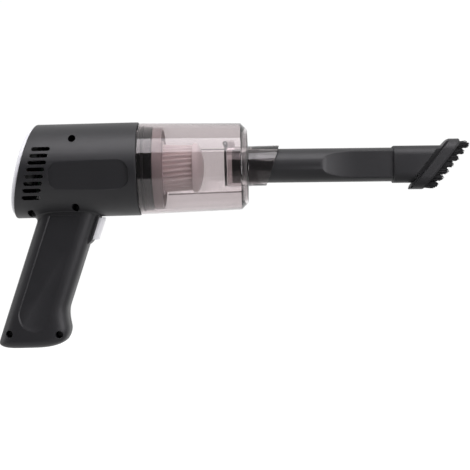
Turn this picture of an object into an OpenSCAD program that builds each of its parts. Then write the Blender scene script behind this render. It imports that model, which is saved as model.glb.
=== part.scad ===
// Cordless pistol-grip car vacuum cleaner, in millimetres.
// The suction axis runs along +X towards the nozzle and +Z is up. The pieces are drawn from the housing's
// front rim on that axis, and the finished part has its origin in the middle of the grip.

/* [Housing] */
// Outer radius of the motor housing
body_r = 36; // [34:0.5:40]
// Length of the housing on its axis, from the front rim to the rear plane
body_len = 86.9; // [86:0.1:95]
// Wall of the housing shells
wall = 2.2; // [1.8:0.1:2.6]
// Lean of the rear plane from square
rear_slant = 13.8; // [10:0.2:16]
// How far the rear cover stands out of the rear plane
cover_proud = 3; // [2:0.1:4]
// Number of vent slots on each side
vent_count = 8; // [4:1:8]
// Height of a vent slot
vent_h = 3; // [2:0.1:3.6]
// Length of a vent slot
vent_len = 13.8; // [8:0.2:16]
// Length of the thumb flat on each side
thumb_len = 58; // [40:1:60]
// Height of the thumb flat
thumb_h = 20.5; // [14:0.5:24]

/* [Handle] */
// Lean of the handle from upright
handle_lean = 19; // [15:0.5:21]
// Depth of the handle from rear to front, measured level
handle_depth = 47.4; // [46:0.2:52]
// Width of the handle from side to side
handle_w = 33; // [32:0.5:40]
// Drop of the handle's base edge below the suction axis
handle_drop = 130; // [128:1:140]
// Forward flare of the toe at the base
toe_flare = 7.7; // [4:0.1:10]
// Crown of the handle's base
base_crown = 6; // [4:0.2:8]

/* [Trigger] */
// Travel of the trigger
trigger_travel = 3.5; // [2:0.1:4]
// Width of the trigger
trigger_w = 12.8; // [10:0.2:14]
// Height of the trigger
trigger_h = 16.4; // [14:0.2:17]
// How far the rim round the trigger stands out of the handle
trigger_rim = 2.3; // [1:0.1:2.6]
// How far the trigger stands out of the handle
trigger_out = 6.2; // [5:0.1:7]

/* [Dust cup] */
// Length of the cup from the housing rim to its front face
cup_len = 83.6; // [80:0.2:95]
// How far the cup's open end is set in from the housing
cup_step = 0.8; // [0.4:0.1:1.2]
// How much the cup's radius narrows towards its front edge
cup_taper = 1.8; // [0.6:0.1:2.4]
// Wall of the cup
cup_wall = 2.2; // [1.6:0.1:2.4]
// Size of the chamfer round the cup's front
cup_chamfer = 5; // [3:0.2:7]
// Outer radius of the inlet tube
inlet_r = 15.5; // [15.2:0.1:17]
// How far the inlet tube reaches into the cup
inlet_in = 17.1; // [14:0.2:18]
// How far the inlet tube's lower lip stands out of the cup
inlet_out = 14.2; // [10:0.2:20]
// Slant of the inlet tube's mouth
mouth_slant = 18.5; // [10:0.5:25]

/* [Filter] */
// Outer radius of the pleats
pleat_r = 18.5; // [16:0.1:19.5]
// Depth of a pleat
pleat_depth = 4.2; // [2.5:0.1:5]
// Number of pleats
pleat_count = 28; // [24:1:48]
// Length of the pleats
pleat_len = 22; // [20:0.5:26]

/* [Nozzle] */
// Outer radius of the nozzle's round part
nozzle_r = 13.1; // [12.4:0.1:13.2]
// Wall of the nozzle
nozzle_wall = 1.8; // [1.4:0.1:2.2]
// Length of the nozzle
nozzle_len = 143; // [130:1:160]
// Length of the round part, up to the scoop
nozzle_round = 67; // [60:1:80]
// Length of the scoop between the round and the flat part
scoop_len = 30; // [20:1:34]
// Thickness of the flat part
nozzle_flat = 16.2; // [14:0.2:18]
// Droop of the nozzle in its socket
nozzle_droop = 0.8; // [0:0.1:0.9]

/* [Brush head] */
// How far the collar reaches over the nozzle's tip
collar_grip = 18; // [12:0.5:22]
// Height of the brush collar
collar_h = 28.6; // [28:0.1:32]
// Slant of the brush flange from square
flange_slant = 38.5; // [30:0.5:42]
// Length of the flange's face along its slant
flange_len = 49.4; // [44:0.2:54]
// Width of the flange
flange_w = 25; // [24:0.5:32]
// Thickness of the flange with the bristle backing
flange_t = 7.4; // [6:0.2:10]
// Length of the bristles
bristle_len = 10.8; // [6:0.2:14]
// Tufts in each long row
tuft_count = 7; // [5:1:7]
// Strands in a tuft
tuft_strands = 20; // [17:1:27]

/* [Drive] */
// Radius of the motor can
motor_r = 16; // [14:0.1:16.5]
// Room behind and in front of the motor can, inside the housing's length
motor_room = 46.9; // [46.5:0.1:52]
// Radius of the motor shaft
shaft_r = 1.5; // [1:0.1:1.8]
// Radius of the impeller
impeller_r = 28.5; // [24:0.5:29]
// Number of impeller blades
blade_count = 9; // [5:1:11]
// Room beside the battery cells across the pack
cell_room = 3.66; // [3.4:0.01:4.6]
// Length of a battery cell
cell_len = 65; // [60:0.5:66]

/* [Hidden] */
$fn = 64;
running_gap = 0.06;
slide_gap = 0.3;
seat_gap = 0.1;
past = 1;
far = 200;

// Housing
bore_r = body_r - wall;
rear_x = -body_len;
cover_r = body_r - 1.4;
cover_rebate = 1.4;
cover_shell = 2.2;
vent_top = 14.4;
vent_pitch = 5.14;
vent_inset = 5.9;
thumb_x = -0.4 * body_len;
thumb_depth = 1.8;
thumb_turn = 8.8;
thumb_corner = 8;
function rear_at(z) = rear_x + z * tan(rear_slant);

// Handle
handle_top = -20;
heel_ref_z = -39.1;
heel_set = 15.3;
heel_ref_x = rear_at(heel_ref_z) + heel_set;
handle_power = 3.6;
toe_rise = 26;
toe_start = handle_drop - toe_rise;
toe_span = 18.6;
toe_power = 1.6;
ring_sides = 24;
panel_inset = 11.5;
panel_depth = 1;
panel_rise = 8;
panel_low = handle_drop - panel_rise;
function handle_rear(z) = heel_ref_x + (z - heel_ref_z) * tan(handle_lean);
function toe(z) = toe_flare * pow(max(0, min(1, (-z - toe_start) / toe_span)), toe_power);
function handle_front(z) = handle_rear(z) + handle_depth + toe(z);
function handle_mid(z) = handle_rear(z) + handle_depth / 2;
grip_z = -85;
grip_x = handle_mid(grip_z);

// Housing screws
screw_head_r = 2.5;
screw_head_h = 2;
screw_r = 1.15;
screw_seat = 5;
screw_reach = 10;
pocket_r = 2.8;
boss_r = 4;
base_screw_rise = [5.7, 4.3];
base_screw_in = [9.4, 7.5];
body_screw_in = [13.8, 3.1, 6.8];
rear_screw_in = 13;
heel_screw_z = -(handle_drop - base_screw_rise[0]);
toe_screw_z = -(handle_drop - base_screw_rise[1]);
low_screw_z = -(body_r - body_screw_in[1]);
screw_points = [
    [-0.552 * body_len, body_r - body_screw_in[0]],
    [rear_at(low_screw_z) + rear_screw_in, low_screw_z],
    [-0.545 * body_len, -(body_r - body_screw_in[2])],
    [handle_rear(heel_screw_z) + base_screw_in[0], heel_screw_z],
    [handle_front(toe_screw_z) - base_screw_in[1], toe_screw_z]
];

// Trigger, spring and switch
trigger_z = -46;
trigger_face_x = handle_front(trigger_z);
rim_side = 2.2;
trigger_depth = 0.304 * handle_depth;
trigger_back_x = trigger_face_x - trigger_depth;
spring_len = 6;
spring_turns = 5;
spring_wire_r = 0.3;
spring_r = 2.7;
plunger_r = 1.5;
plunger_in = trigger_travel + 2;
switch_face_x = trigger_back_x - spring_len;
switch_len = 0.274 * handle_depth;
switch_w = 12;
switch_h = 12;

// Front collar and its seal
collar_flange = 3;
collar_spigot = 11;
cup_fit_gap = 0.5;
cup_rear_r = body_r - cup_step;
cup_front_r = cup_rear_r - cup_taper;
cup_mouth_r = cup_rear_r - cup_wall;
spigot_r = cup_mouth_r - cup_fit_gap;
seal_x = 4;
seal_r = 1;
seal_gap = 0.15;
seal_ring_r = cup_mouth_r - seal_gap - seal_r;
collar_wall = 2.2;
socket_r = 21;
socket_depth = 5;

// Filter
filter_x = collar_spigot + 0.3;
filter_flange = 7.2;
flange_gap = 1.4;
filter_flange_r = cup_mouth_r - flange_gap;
gasket_in_r = 23.5;
gasket_w = 4;
gasket_t = 1.3;
pleat_x = filter_x + filter_flange;
pleat_wall = 0.8;
cage_r = pleat_r - pleat_depth - pleat_wall - 0.5;
cage_bar = 2;
cap_x = pleat_x + pleat_len;
cap_rim = 4;
cap_dome = 4.4;

// Dust cup, inlet and flap
cup_gap = 0.4;
cup_edge_x = cup_len - cup_chamfer;
inlet_gap = 0.35;
inlet_bore = nozzle_r + inlet_gap;
inlet_in_x = cup_len - inlet_in;
inlet_low_x = cup_len + inlet_out;
rib_h = 0.7;
rib_w = 1;
rib_turns = [30.5, -37];
rib_x = pleat_x + 0.7;
flap_t = 1.2;
flap_gap = 0.4;
flap_x = inlet_in_x - flap_gap - flap_t;
flap_r = inlet_r - 0.4;
flap_pin_r = 0.9;
flap_barrel_r = 1.8;
flap_pin_x = flap_x + flap_t / 2;
flap_pin_z = inlet_r + flap_barrel_r + 0.2;
flap_barrel_w = 9;
ear_t = 2.4;
ear_gap = 0.3;
ear_foot = 6;
function cup_r(x) = cup_rear_r + (cup_front_r - cup_rear_r) * (x - cup_gap) / (cup_edge_x - cup_gap);

// Nozzle, in its own line, which droops about a point in the inlet
droop_in = 24;
droop_x = inlet_in_x + droop_in;
nozzle_x = inlet_in_x + 4.2;
nozzle_tip_x = nozzle_x + nozzle_len;
scoop_x = nozzle_x + nozzle_round;
scoop_steps = 8;

// Brush head
brush_gap = 0.3;
brush_wall = 1.8;
collar_x = nozzle_tip_x - collar_grip;
collar_w = nozzle_flat + 2 * (brush_gap + brush_wall);
collar_corner = 8;
flange_corner = 10;
flange_out = 18.3;
flange_x = nozzle_tip_x + flange_out;
backing_t = 1.4;
mouth_h = 34;
mouth_w = 12.4;
mouth_corner = 5;
duct_h = 2 * (nozzle_r - nozzle_wall);
duct_w = nozzle_flat - 2 * nozzle_wall;
bristle_strip_w = (flange_w - mouth_w) / 2 - 0.03;
row_y = (flange_w + mouth_w) / 4;
row_top_s = flange_len / 2 - 7.3;
row_low_s = -flange_len / 2 + 4.3;
row_low_y = row_y - 1.65;
end_row_y = 3.6;
end_top_s = mouth_h / 2 + 2.1;
end_low_s = -mouth_h / 2 - 3.9;
strand_r = 0.2;
strand_sides = 3;
tuft_r = 1.35;
tuft_splay = 1.28;
golden_turn = 137.508;

// Motor, fan and bracket
bracket_x = -24;
motor_len = body_len - motor_room;
bracket_t = 3;
motor_x = bracket_x - motor_len;
can_wall = 1.2;
bell_t = 4;
bell_hub_r = 5;
bell_hub_t = 2;
bush_r = 3.5;
bush_t = 4;
magnet_t = 2.4;
air_gap = 0.6;
armature_r = motor_r - can_wall - magnet_t - air_gap;
armature_set = 13;
armature_room = 20;
armature_x = motor_x + armature_set;
armature_len = motor_len - armature_room;
commutator_r = 5;
commutator_len = 9;
damper_x = motor_x + 3;
damper_w = 8;
damper_r = motor_r + 4;
rib_ring_t = 2.4;
rib_hole_r = 4.4;
shroud_r = bore_r - 0.4;
shroud_wall = 2;
shroud_x = bracket_x + bracket_t;
shroud_end = -collar_flange;
eye_r = 13;
impeller_x = shroud_x + 3;
impeller_t = 1.4;
blade_h = 8;
blade_t = 1.2;
hub_r = 5;
nut_t = 3;
nut_r = 3.6;
bracket_screw_pitch = 11;
small_screw_r = 1;
small_head_r = 2.1;
small_head_h = 1.4;

// Battery pack, laid along the handle below the switch
tray_play = 0.5;
tray_depth = (handle_depth - 2 * wall) * cos(handle_lean) - 2 * tray_play;
cell_r = (tray_depth - cell_room) / 4;
cell_gap = 0.4;
cell_pitch = 2 * cell_r + cell_gap;
tray_plate = 2;
strip_over = 8;
strip_w = 7;
strip_corner = 2;
pack_rise = 40;
foot_inset = 4.8;
tray_gap = 0.2;
tray_web = 2;
pack_len = cell_len + 2 * tray_gap;
pack_mid_z = -(handle_drop - pack_rise);
tray_foot = 2 * (cell_pitch - foot_inset);
contact_t = 0.15;

// Control board, set square to the rear plane
board_x = 12;
board_t = 1.6;
board_w = 26;
board_h = 32;
board_z = -8;
post_r = 3;
post_bore = 6;
board_screw_len = 5;
post_y = 10;
post_z = 13;
socket_z = -14;
plug_r = 3.2;
plug_depth = 3;
jack_r = 5;
jack_bore_r = 2.9;
jack_bore_len = 7;
jack_pin_r = 1;
lamp_r = 1.6;
lamp_z = 2;

// Leads
lead_r = 0.8;
lead_sides = 8;
lead_back = 4.4;
lead_end = 0.15;
lead_tip = 0.6;
battery_lead_y = 4;
switch_lead_y = 2;
motor_lead_y = 9;
battery_lead_z = -22.7;
switch_lead_z = -18.2;
motor_lead_z = -10;
bell_lead_z = -3;
lead_x = switch_face_x - switch_len - lead_back;
bell_back = motor_x - bell_t;
function tray_top(x) =
    let (rise = (pack_len / 2 + tray_plate) / cos(handle_lean))
    pack_mid_z - (x - handle_mid(pack_mid_z)) * tan(handle_lean) + rise;
function board_face(z) = rear_at(z) + (board_x + board_t) / cos(rear_slant);
function between(a, b, t) = a + (b - a) * t;
battery_start = [lead_x, tray_top(lead_x) + 3 * lead_end];
battery_end = [board_face(battery_lead_z) + lead_end, battery_lead_z];
battery_lead_route = [
    battery_start,
    [lead_x - lead_r / 2, between(battery_start[1], battery_end[1], 0.25)],
    [lead_x - lead_r / 2, between(battery_start[1], battery_end[1], 0.5)],
    [lead_x - lead_r / 2, between(battery_start[1], battery_end[1], 0.75)],
    [between(lead_x, battery_end[0], 0.25), between(battery_start[1], battery_end[1], 0.9)],
    [between(lead_x, battery_end[0], 0.55), between(battery_start[1], battery_end[1], 0.97)],
    battery_end
];
switch_start = [lead_x + lead_back - lead_tip, trigger_z];
switch_end = [board_face(switch_lead_z) + lead_end, switch_lead_z];
switch_up_x = switch_start[0] - 3 * lead_r;
switch_lead_route = [
    switch_start,
    [switch_start[0] - 1.6 * lead_r, between(switch_start[1], switch_end[1], 0.03)],
    [switch_start[0] - 2.8 * lead_r, between(switch_start[1], switch_end[1], 0.14)],
    [switch_up_x, between(switch_start[1], switch_end[1], 0.36)],
    [switch_up_x, between(switch_start[1], switch_end[1], 0.64)],
    [between(switch_up_x, switch_end[0], 0.15), between(switch_start[1], switch_end[1], 0.9)],
    [between(switch_up_x, switch_end[0], 0.55), between(switch_start[1], switch_end[1], 0.98)],
    switch_end
];
motor_start = [board_face(motor_lead_z) + lead_tip, motor_lead_z];
motor_end = [bell_back - lead_end, bell_lead_z];
motor_lead_route = [
    motor_start,
    [between(motor_start[0], motor_end[0], 0.26), between(motor_start[1], motor_end[1], 0.15)],
    [between(motor_start[0], motor_end[0], 0.5), between(motor_start[1], motor_end[1], 0.6)],
    [between(motor_start[0], motor_end[0], 0.72), between(motor_start[1], motor_end[1], 0.93)],
    motor_end
];

// Shared shapes
module from_grip() {
    translate([-grip_x, 0, -grip_z]) children();
}

module along_x(x) {
    translate([x, 0, 0]) rotate([0, 90, 0]) children();
}

module along_y(y) {
    translate([0, y, 0]) rotate([-90, 0, 0]) children();
}

// A turned piece on the suction axis, from points of radius and place along the axis
module turned(points) {
    rotate([0, 90, 0]) rotate_extrude() polygon(points);
}

module ring(x, len, outer, inner) {
    along_x(x) difference() {
        cylinder(r = outer, h = len);
        translate([0, 0, -past]) cylinder(r = inner, h = len + 2 * past);
    }
}

module rounded(w, h, r) {
    square([w - 2 * r, h], center = true);
    square([w, h - 2 * r], center = true);
    for (x = [-1, 1], y = [-1, 1])
        translate([x * (w / 2 - r), y * (h / 2 - r)]) circle(r = r);
}

module stadium(len, h) {
    square([len - h, h], center = true);
    for (x = [-1, 1])
        translate([x * (len - h) / 2, 0]) circle(d = h);
}

// Places children in the rear plane's own frame, where -X points out of the housing
module at_rear() {
    translate([rear_x, 0, 0]) rotate([0, rear_slant, 0]) children();
}

// Places children in the nozzle's own line
module at_nozzle() {
    translate([droop_x, 0, 0]) rotate([0, nozzle_droop, 0]) translate([-droop_x, 0, 0]) children();
}

// Places children on the middle of the brush flange's front face, with Z along its normal
module at_flange() {
    at_nozzle() translate([flange_x, 0, 0]) rotate([0, 90 + flange_slant, 0]) rotate([0, 0, 180]) children();
}

// Handle loft: level rings between the rear and front lines
function signed_pow(v, p) = sign(v) * pow(abs(v), p);
function handle_ring(z, keep, inset) =
    let (rear = handle_rear(z) + inset, front = handle_front(z) - inset)
    let (mid = (rear + front) / 2, half = keep * (front - rear) / 2, side = keep * (handle_w / 2 - inset))
    [for (i = [0 : ring_sides - 1])
        let (a = 360 * (i + 0.5) / ring_sides)
        [mid + half * signed_pow(cos(a), 2 / handle_power), side * signed_pow(sin(a), 2 / handle_power), z]];
function handle_stations(inset) = concat(
    [[handle_top, 1], [-70, 1], [-toe_start, 1]],
    [for (k = [1 : 5]) [-toe_start - k * toe_span / 5, 1]],
    [[-handle_drop + inset, 1]],
    [for (k = [1 : 5]) [-handle_drop + inset - base_crown * sin(17 * k), pow(cos(17 * k), 0.5)]]
);
function loft_faces(rings, sides) = concat(
    [[for (i = [sides - 1 : -1 : 0]) i]],
    [for (k = [0 : rings - 2], i = [0 : sides - 1])
        let (a = k * sides + i, b = k * sides + (i + 1) % sides)
        [a, b, b + sides]],
    [for (k = [0 : rings - 2], i = [0 : sides - 1])
        let (a = k * sides + i, b = k * sides + (i + 1) % sides)
        [a, b + sides, a + sides]],
    [[for (i = [0 : sides - 1]) (rings - 1) * sides + i]]
);

module handle_loft(inset) {
    stations = handle_stations(inset);
    points = [for (s = stations) each handle_ring(s[0], s[1], inset)];
    polyhedron(points, loft_faces(len(stations), ring_sides));
}

// Housing
module rear_half_space(depth) {
    at_rear() translate([depth - far, -far / 2, -far / 2]) cube(far);
}

// A raised rim of the housing round the trigger, sloped off under it
module trigger_surround() {
    low = trigger_z - trigger_h / 2;
    top = -body_r + 3;
    rotate([90, 0, 0]) linear_extrude(height = trigger_w + 2 * rim_side, center = true) polygon([
        [handle_front(top) - wall, top],
        [handle_front(low - 3.5) - wall, low - 3.5],
        [handle_front(low - 3.5), low - 3.5],
        [handle_front(low - 0.7) + trigger_rim, low - 0.7],
        [handle_front(top) + trigger_rim, top]
    ]);
}

module shell_outer() {
    trigger_surround();
    difference() {
        along_x(rear_x - body_r) cylinder(r = body_r, h = body_len + body_r);
        rear_half_space(0);
    }
    handle_loft(0);
}

module shell_inner() {
    along_x(rear_x - body_r) cylinder(r = bore_r, h = body_len + body_r + past);
    handle_loft(wall);
}

module vent_slots() {
    for (i = [0 : vent_count - 1]) {
        z = vent_top - i * vent_pitch;
        translate([rear_at(z) + vent_inset + vent_len / 2, 0, z])
            rotate([90, 0, 0])
                linear_extrude(height = 2 * body_r + 2 * past, center = true) stadium(vent_len, vent_h);
    }
}

module thumb_flat(side) {
    translate([thumb_x, 0, 0])
        rotate([-side * thumb_turn, 0, 0])
            translate([0, side * (body_r - thumb_depth + far / 2), 0])
                rotate([90, 0, 0])
                    linear_extrude(height = far, center = true) rounded(thumb_len, thumb_h, thumb_corner);
}

module grip_panel(side) {
    mid_z = -(panel_low - (handle_depth / 2 - panel_inset));
    half = (handle_depth / 2 - panel_inset) * cos(handle_lean);
    top_z = -body_r + 2;
    arc = [for (a = [180 - handle_lean : 12 : 360 - handle_lean])
        [handle_mid(mid_z) + half * cos(a), mid_z + half * sin(a)]];
    top = [[handle_front(top_z) - panel_inset, top_z], [handle_rear(top_z) + panel_inset, top_z]];
    translate([0, side * (handle_w / 2 - panel_depth + far / 2), 0])
        rotate([90, 0, 0])
            linear_extrude(height = far, center = true) polygon(concat(arc, top));
}

module trigger_slot() {
    translate([trigger_face_x, 0, trigger_z])
        cube([4 * trigger_out, trigger_w + 2 * slide_gap, trigger_h + 2 * slide_gap], center = true);
}

module motor_rib() {
    difference() {
        ring(damper_x + (damper_w - rib_ring_t) / 2, rib_ring_t, bore_r + wall / 2, damper_r + seat_gap);
        for (a = [30 : 60 : 330])
            rotate([a, 0, 0]) translate([damper_x, 0, (bore_r + damper_r) / 2])
                along_x(-past) cylinder(r = rib_hole_r, h = damper_w + 2 * past);
    }
}

module switch_pads() {
    translate([switch_face_x - switch_len + 1, -handle_w / 2, trigger_z - switch_h / 2 + 1])
        cube([switch_len - 2, handle_w, switch_h - 2]);
}

module housing_half(side) {
    screw_side = side < 0;
    difference() {
        union() {
            difference() {
                shell_outer();
                shell_inner();
            }
            intersection() {
                shell_outer();
                union() {
                    for (p = screw_points)
                        translate([p[0], 0, p[1]]) along_y(side < 0 ? -far : 0) cylinder(r = boss_r, h = far);
                    motor_rib();
                    switch_pads();
                }
            }
        }
        translate([-far, side < 0 ? 0 : -far, -far]) cube([2 * far, far, 2 * far]);
        translate([0, -switch_w / 2 - seat_gap, 0])
            translate([switch_face_x - switch_len, 0, trigger_z - switch_h / 2])
                cube([switch_len, switch_w + 2 * seat_gap, switch_h]);
        at_rear() along_x(-past) cylinder(r = cover_r + seat_gap, h = cover_rebate + past);
        vent_slots();
        thumb_flat(side);
        grip_panel(side);
        trigger_slot();
        for (p = screw_points)
            translate([p[0], 0, p[1]]) {
                if (screw_side) {
                    along_y(-far) cylinder(r = pocket_r, h = far - screw_seat);
                    along_y(-far) cylinder(r = screw_r + 0.3, h = far + past);
                } else {
                    along_y(-past) cylinder(r = screw_r + running_gap, h = screw_reach + past + 1);
                }
            }
    }
}

module housing_right() {
    color("#303032") housing_half(-1);
}

module housing_left() {
    color("#2c2c2e") housing_half(1);
}

module rear_cover() {
    round_r = min(2, cover_proud - 0.5);
    color("#dcdce0") difference() {
        union() {
            at_rear() rotate([0, 90, 0]) rotate_extrude() difference() {
                union() {
                    translate([0, -cover_proud + round_r])
                        square([cover_r, cover_proud + cover_rebate - round_r]);
                    translate([0, -cover_proud]) square([cover_r - round_r, cover_proud]);
                    translate([cover_r - round_r, -cover_proud + round_r]) circle(r = round_r);
                }
                translate([0, -cover_proud + cover_shell])
                    square([cover_r - cover_shell, cover_proud + cover_rebate]);
            }
            for (y = [-1, 1], z = [-1, 1])
                at_rear() translate([0, y * post_y, board_z + z * post_z])
                    along_x(-cover_proud + cover_shell / 2)
                        cylinder(r = post_r, h = board_x + cover_proud - cover_shell / 2);
        }
        at_rear() translate([0, 0, socket_z])
            along_x(-cover_proud - past) cylinder(r = jack_r + seat_gap, h = far);
        at_rear() translate([0, 0, lamp_z])
            along_x(-cover_proud - past) cylinder(r = lamp_r + seat_gap, h = far);
        for (y = [-1, 1], z = [-1, 1])
            at_rear() translate([0, y * post_y, board_z + z * post_z])
                along_x(board_x - post_bore) cylinder(r = small_screw_r + running_gap, h = post_bore + past);
    }
}

module housing_screws() {
    color("#8a8a8c") for (p = screw_points)
        translate([p[0], 0, p[1]]) difference() {
            union() {
                along_y(-screw_seat - screw_head_h) cylinder(r = screw_head_r, h = screw_head_h);
                along_y(-screw_seat) cylinder(r = screw_r, h = screw_seat + screw_reach);
            }
            for (a = [0, 90])
                rotate([0, a, 0]) translate([0, -screw_seat - screw_head_h, 0])
                    cube([2.6, 1.8, 0.7], center = true);
        }
}

// Trigger and switch
module trigger() {
    low = trigger_z - trigger_h / 2;
    high = trigger_z + trigger_h / 2;
    nose = 2.4;
    color("#cfcfd3") rotate([90, 0, 0]) linear_extrude(height = trigger_w, center = true)
        polygon([
            [trigger_back_x, low],
            [handle_front(low) + trigger_out - nose, low],
            [handle_front(low + nose) + trigger_out, low + nose],
            [handle_front(high) + trigger_out, high],
            [trigger_back_x, high]
        ]);
}

function helix_point(t) = [spring_len * t, 0, 0]
    + (spring_r) * [0, cos(360 * spring_turns * t), sin(360 * spring_turns * t)];
function helix_ring(t) =
    let (out = [0, cos(360 * spring_turns * t), sin(360 * spring_turns * t)])
    [for (i = [0 : 5]) helix_point(t)
        + spring_wire_r * (cos(60 * i) * out + [sin(60 * i), 0, 0])];

module trigger_spring() {
    steps = 8 * spring_turns;
    inset = (spring_wire_r + seat_gap / 2) / spring_len;
    points = [for (k = [0 : steps]) each helix_ring(inset + (1 - 2 * inset) * k / steps)];
    echo(least_gap_between_turns = (1 - 2 * inset) * spring_len / spring_turns - 2 * spring_wire_r);
    color("#b9bcc0") translate([switch_face_x, 0, trigger_z])
        polyhedron(points, loft_faces(steps + 1, 6));
}

module power_switch() {
    color("#3a3532") difference() {
        translate([switch_face_x - switch_len, -switch_w / 2, trigger_z - switch_h / 2])
            cube([switch_len, switch_w, switch_h]);
        translate([0, 0, trigger_z])
            along_x(switch_face_x - plunger_in - 0.5)
                cylinder(r = plunger_r + running_gap, h = plunger_in + past);
    }
}

module switch_plunger() {
    color("#b5483c") translate([0, 0, trigger_z]) along_x(switch_face_x - plunger_in + trigger_travel)
        cylinder(r = plunger_r, h = plunger_in - trigger_travel + spring_len - seat_gap);
}

// Front collar, filter and cup
module front_collar() {
    web = 2.5;
    color("#141416") difference() {
        union() {
            along_x(-collar_flange) cylinder(r = bore_r - 0.2, h = collar_flange);
            along_x(-collar_flange) cylinder(r = spigot_r, h = collar_flange + collar_spigot);
        }
        along_x(-collar_flange - past)
            cylinder(r = seal_ring_r - seal_r - collar_wall, h = collar_flange + collar_spigot - web + past);
        along_x(-far / 2) cylinder(r = socket_r, h = far);
        ring(seal_x - seal_r - 0.1, 2 * seal_r + 0.2, spigot_r + past, seal_ring_r - seal_r - 0.05);
    }
    color("#141416") ring(collar_spigot - socket_depth - 1, socket_depth + 1, socket_r + 1.8, socket_r);
}

module collar_seal() {
    color("#3c3c3e") translate([seal_x, 0, 0]) rotate([0, 90, 0])
        rotate_extrude() translate([seal_ring_r, 0]) circle(r = seal_r);
}

module filter_frame() {
    plug_outer = socket_r - 0.2;
    plug_inner = plug_outer - 1.8;
    color("#b9adab") {
        difference() {
            union() {
                along_x(filter_x) cylinder(r = filter_flange_r, h = filter_flange);
                along_x(filter_x - socket_depth) cylinder(r = plug_outer, h = socket_depth + past);
            }
            along_x(filter_x - socket_depth - past)
                cylinder(r = plug_inner, h = socket_depth + filter_flange - 2 + past);
            along_x(filter_x) cylinder(r = cage_r - cage_bar, h = far);
            ring(filter_x - past, gasket_t + past, gasket_in_r + gasket_w + 0.05, gasket_in_r - 0.05);
            ring(filter_x + 2.4, far, filter_flange_r - 2, pleat_r + 2.4);
        }
        for (a = [45 : 90 : 315])
            rotate([a, 0, 0]) translate([pleat_x - past, -cage_bar / 2, cage_r - cage_bar])
                cube([pleat_len + past, cage_bar, cage_bar]);
    }
}

function star(outer, inner, count) = [for (i = [0 : 2 * count - 1])
    let (a = 180 * i / count, r = i % 2 == 0 ? outer : inner) [r * cos(a), r * sin(a)]];

module filter_pleats() {
    inner = pleat_r - pleat_depth;
    color("#d8cfcc") along_x(pleat_x) linear_extrude(height = pleat_len) difference() {
        polygon(star(pleat_r, inner, pleat_count));
        polygon(star(pleat_r - pleat_wall, inner - pleat_wall, pleat_count));
    }
}

module filter_cap() {
    cap_r = pleat_r + 0.5;
    dome_r = (cap_r * cap_r + cap_dome * cap_dome) / (2 * cap_dome);
    color("#b9adab") intersection() {
        along_x(cap_x) cylinder(r = cap_r, h = cap_rim + cap_dome);
        translate([cap_x + cap_rim + cap_dome - dome_r, 0, 0]) sphere(r = dome_r);
    }
}

module filter_gasket() {
    color("#4a4748") ring(filter_x - 0.2, gasket_t + 0.2, gasket_in_r + gasket_w, gasket_in_r);
}

module cup_ears() {
    for (side = [-1, 1])
        translate([0, side * (flap_barrel_w / 2 + ear_gap + ear_t / 2) - ear_t / 2, 0]) {
            translate([flap_pin_x, 0, flap_pin_z]) along_y(0) cylinder(r = flap_barrel_r, h = ear_t);
            translate([flap_pin_x, 0, flap_pin_z - flap_barrel_r])
                cube([ear_foot + inlet_in_x - flap_pin_x, ear_t, 2 * flap_barrel_r]);
            translate([inlet_in_x, 0, inlet_r - 3]) cube([ear_foot, ear_t, flap_pin_z - inlet_r + 3]);
        }
}

module cup_ribs() {
    front = cup_edge_x - 1;
    for (turn = rib_turns)
        rotate([turn, 0, 0]) linear_extrude(height = rib_w, center = true)
            polygon([
                [rib_x, cup_r(rib_x) - cup_wall - rib_h],
                [front, cup_r(front) - cup_wall - rib_h],
                [front, cup_r(front) - cup_wall / 2],
                [rib_x, cup_r(rib_x) - cup_wall / 2]
            ]);
}

module dust_cup() {
    front_in = cup_len - cup_wall;
    chamfer_r = cup_front_r - cup_chamfer;
    color("#b3a7a6") difference() {
        union() {
            turned([
                [cup_mouth_r, cup_gap],
                [cup_rear_r, cup_gap],
                [cup_front_r, cup_edge_x],
                [chamfer_r, cup_len],
                [0, cup_len],
                [0, front_in],
                [chamfer_r - 1, front_in],
                [cup_front_r - cup_wall, cup_edge_x - 0.6]
            ]);
            along_x(inlet_in_x)
                cylinder(r = inlet_r, h = inlet_low_x - inlet_in_x + 2 * inlet_r * tan(mouth_slant));
            cup_ears();
            cup_ribs();
        }
        along_x(inlet_in_x - past) cylinder(r = inlet_bore, h = far);
        translate([inlet_low_x, 0, -inlet_r]) rotate([0, mouth_slant, 0])
            translate([0, -far / 2, -far / 2]) cube(far);
        translate([flap_pin_x, 0, flap_pin_z]) along_y(-far / 2) cylinder(r = flap_pin_r, h = far);
    }
}

module flap_pin() {
    span = flap_barrel_w + 2 * ear_gap + 2 * ear_t;
    color("#c8c8cc") translate([flap_pin_x, 0, flap_pin_z])
        along_y(-span / 2) cylinder(r = flap_pin_r, h = span);
}

module inlet_flap() {
    color("#2a2628") difference() {
        union() {
            along_x(flap_x) cylinder(r = flap_r, h = flap_t);
            translate([flap_pin_x, 0, flap_pin_z]) along_y(-flap_barrel_w / 2)
                cylinder(r = flap_barrel_r, h = flap_barrel_w);
            translate([flap_x, -flap_barrel_w / 2, flap_r - 2])
                cube([flap_t, flap_barrel_w, flap_pin_z - flap_r + 2]);
        }
        translate([flap_pin_x, 0, flap_pin_z])
            along_y(-far / 2) cylinder(r = flap_pin_r + running_gap, h = far);
    }
}

// Nozzle: a tube whose sides are scooped away to two flats
function scoop_drop(t) = 1 - (1 - t) * (1 - t);

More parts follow.
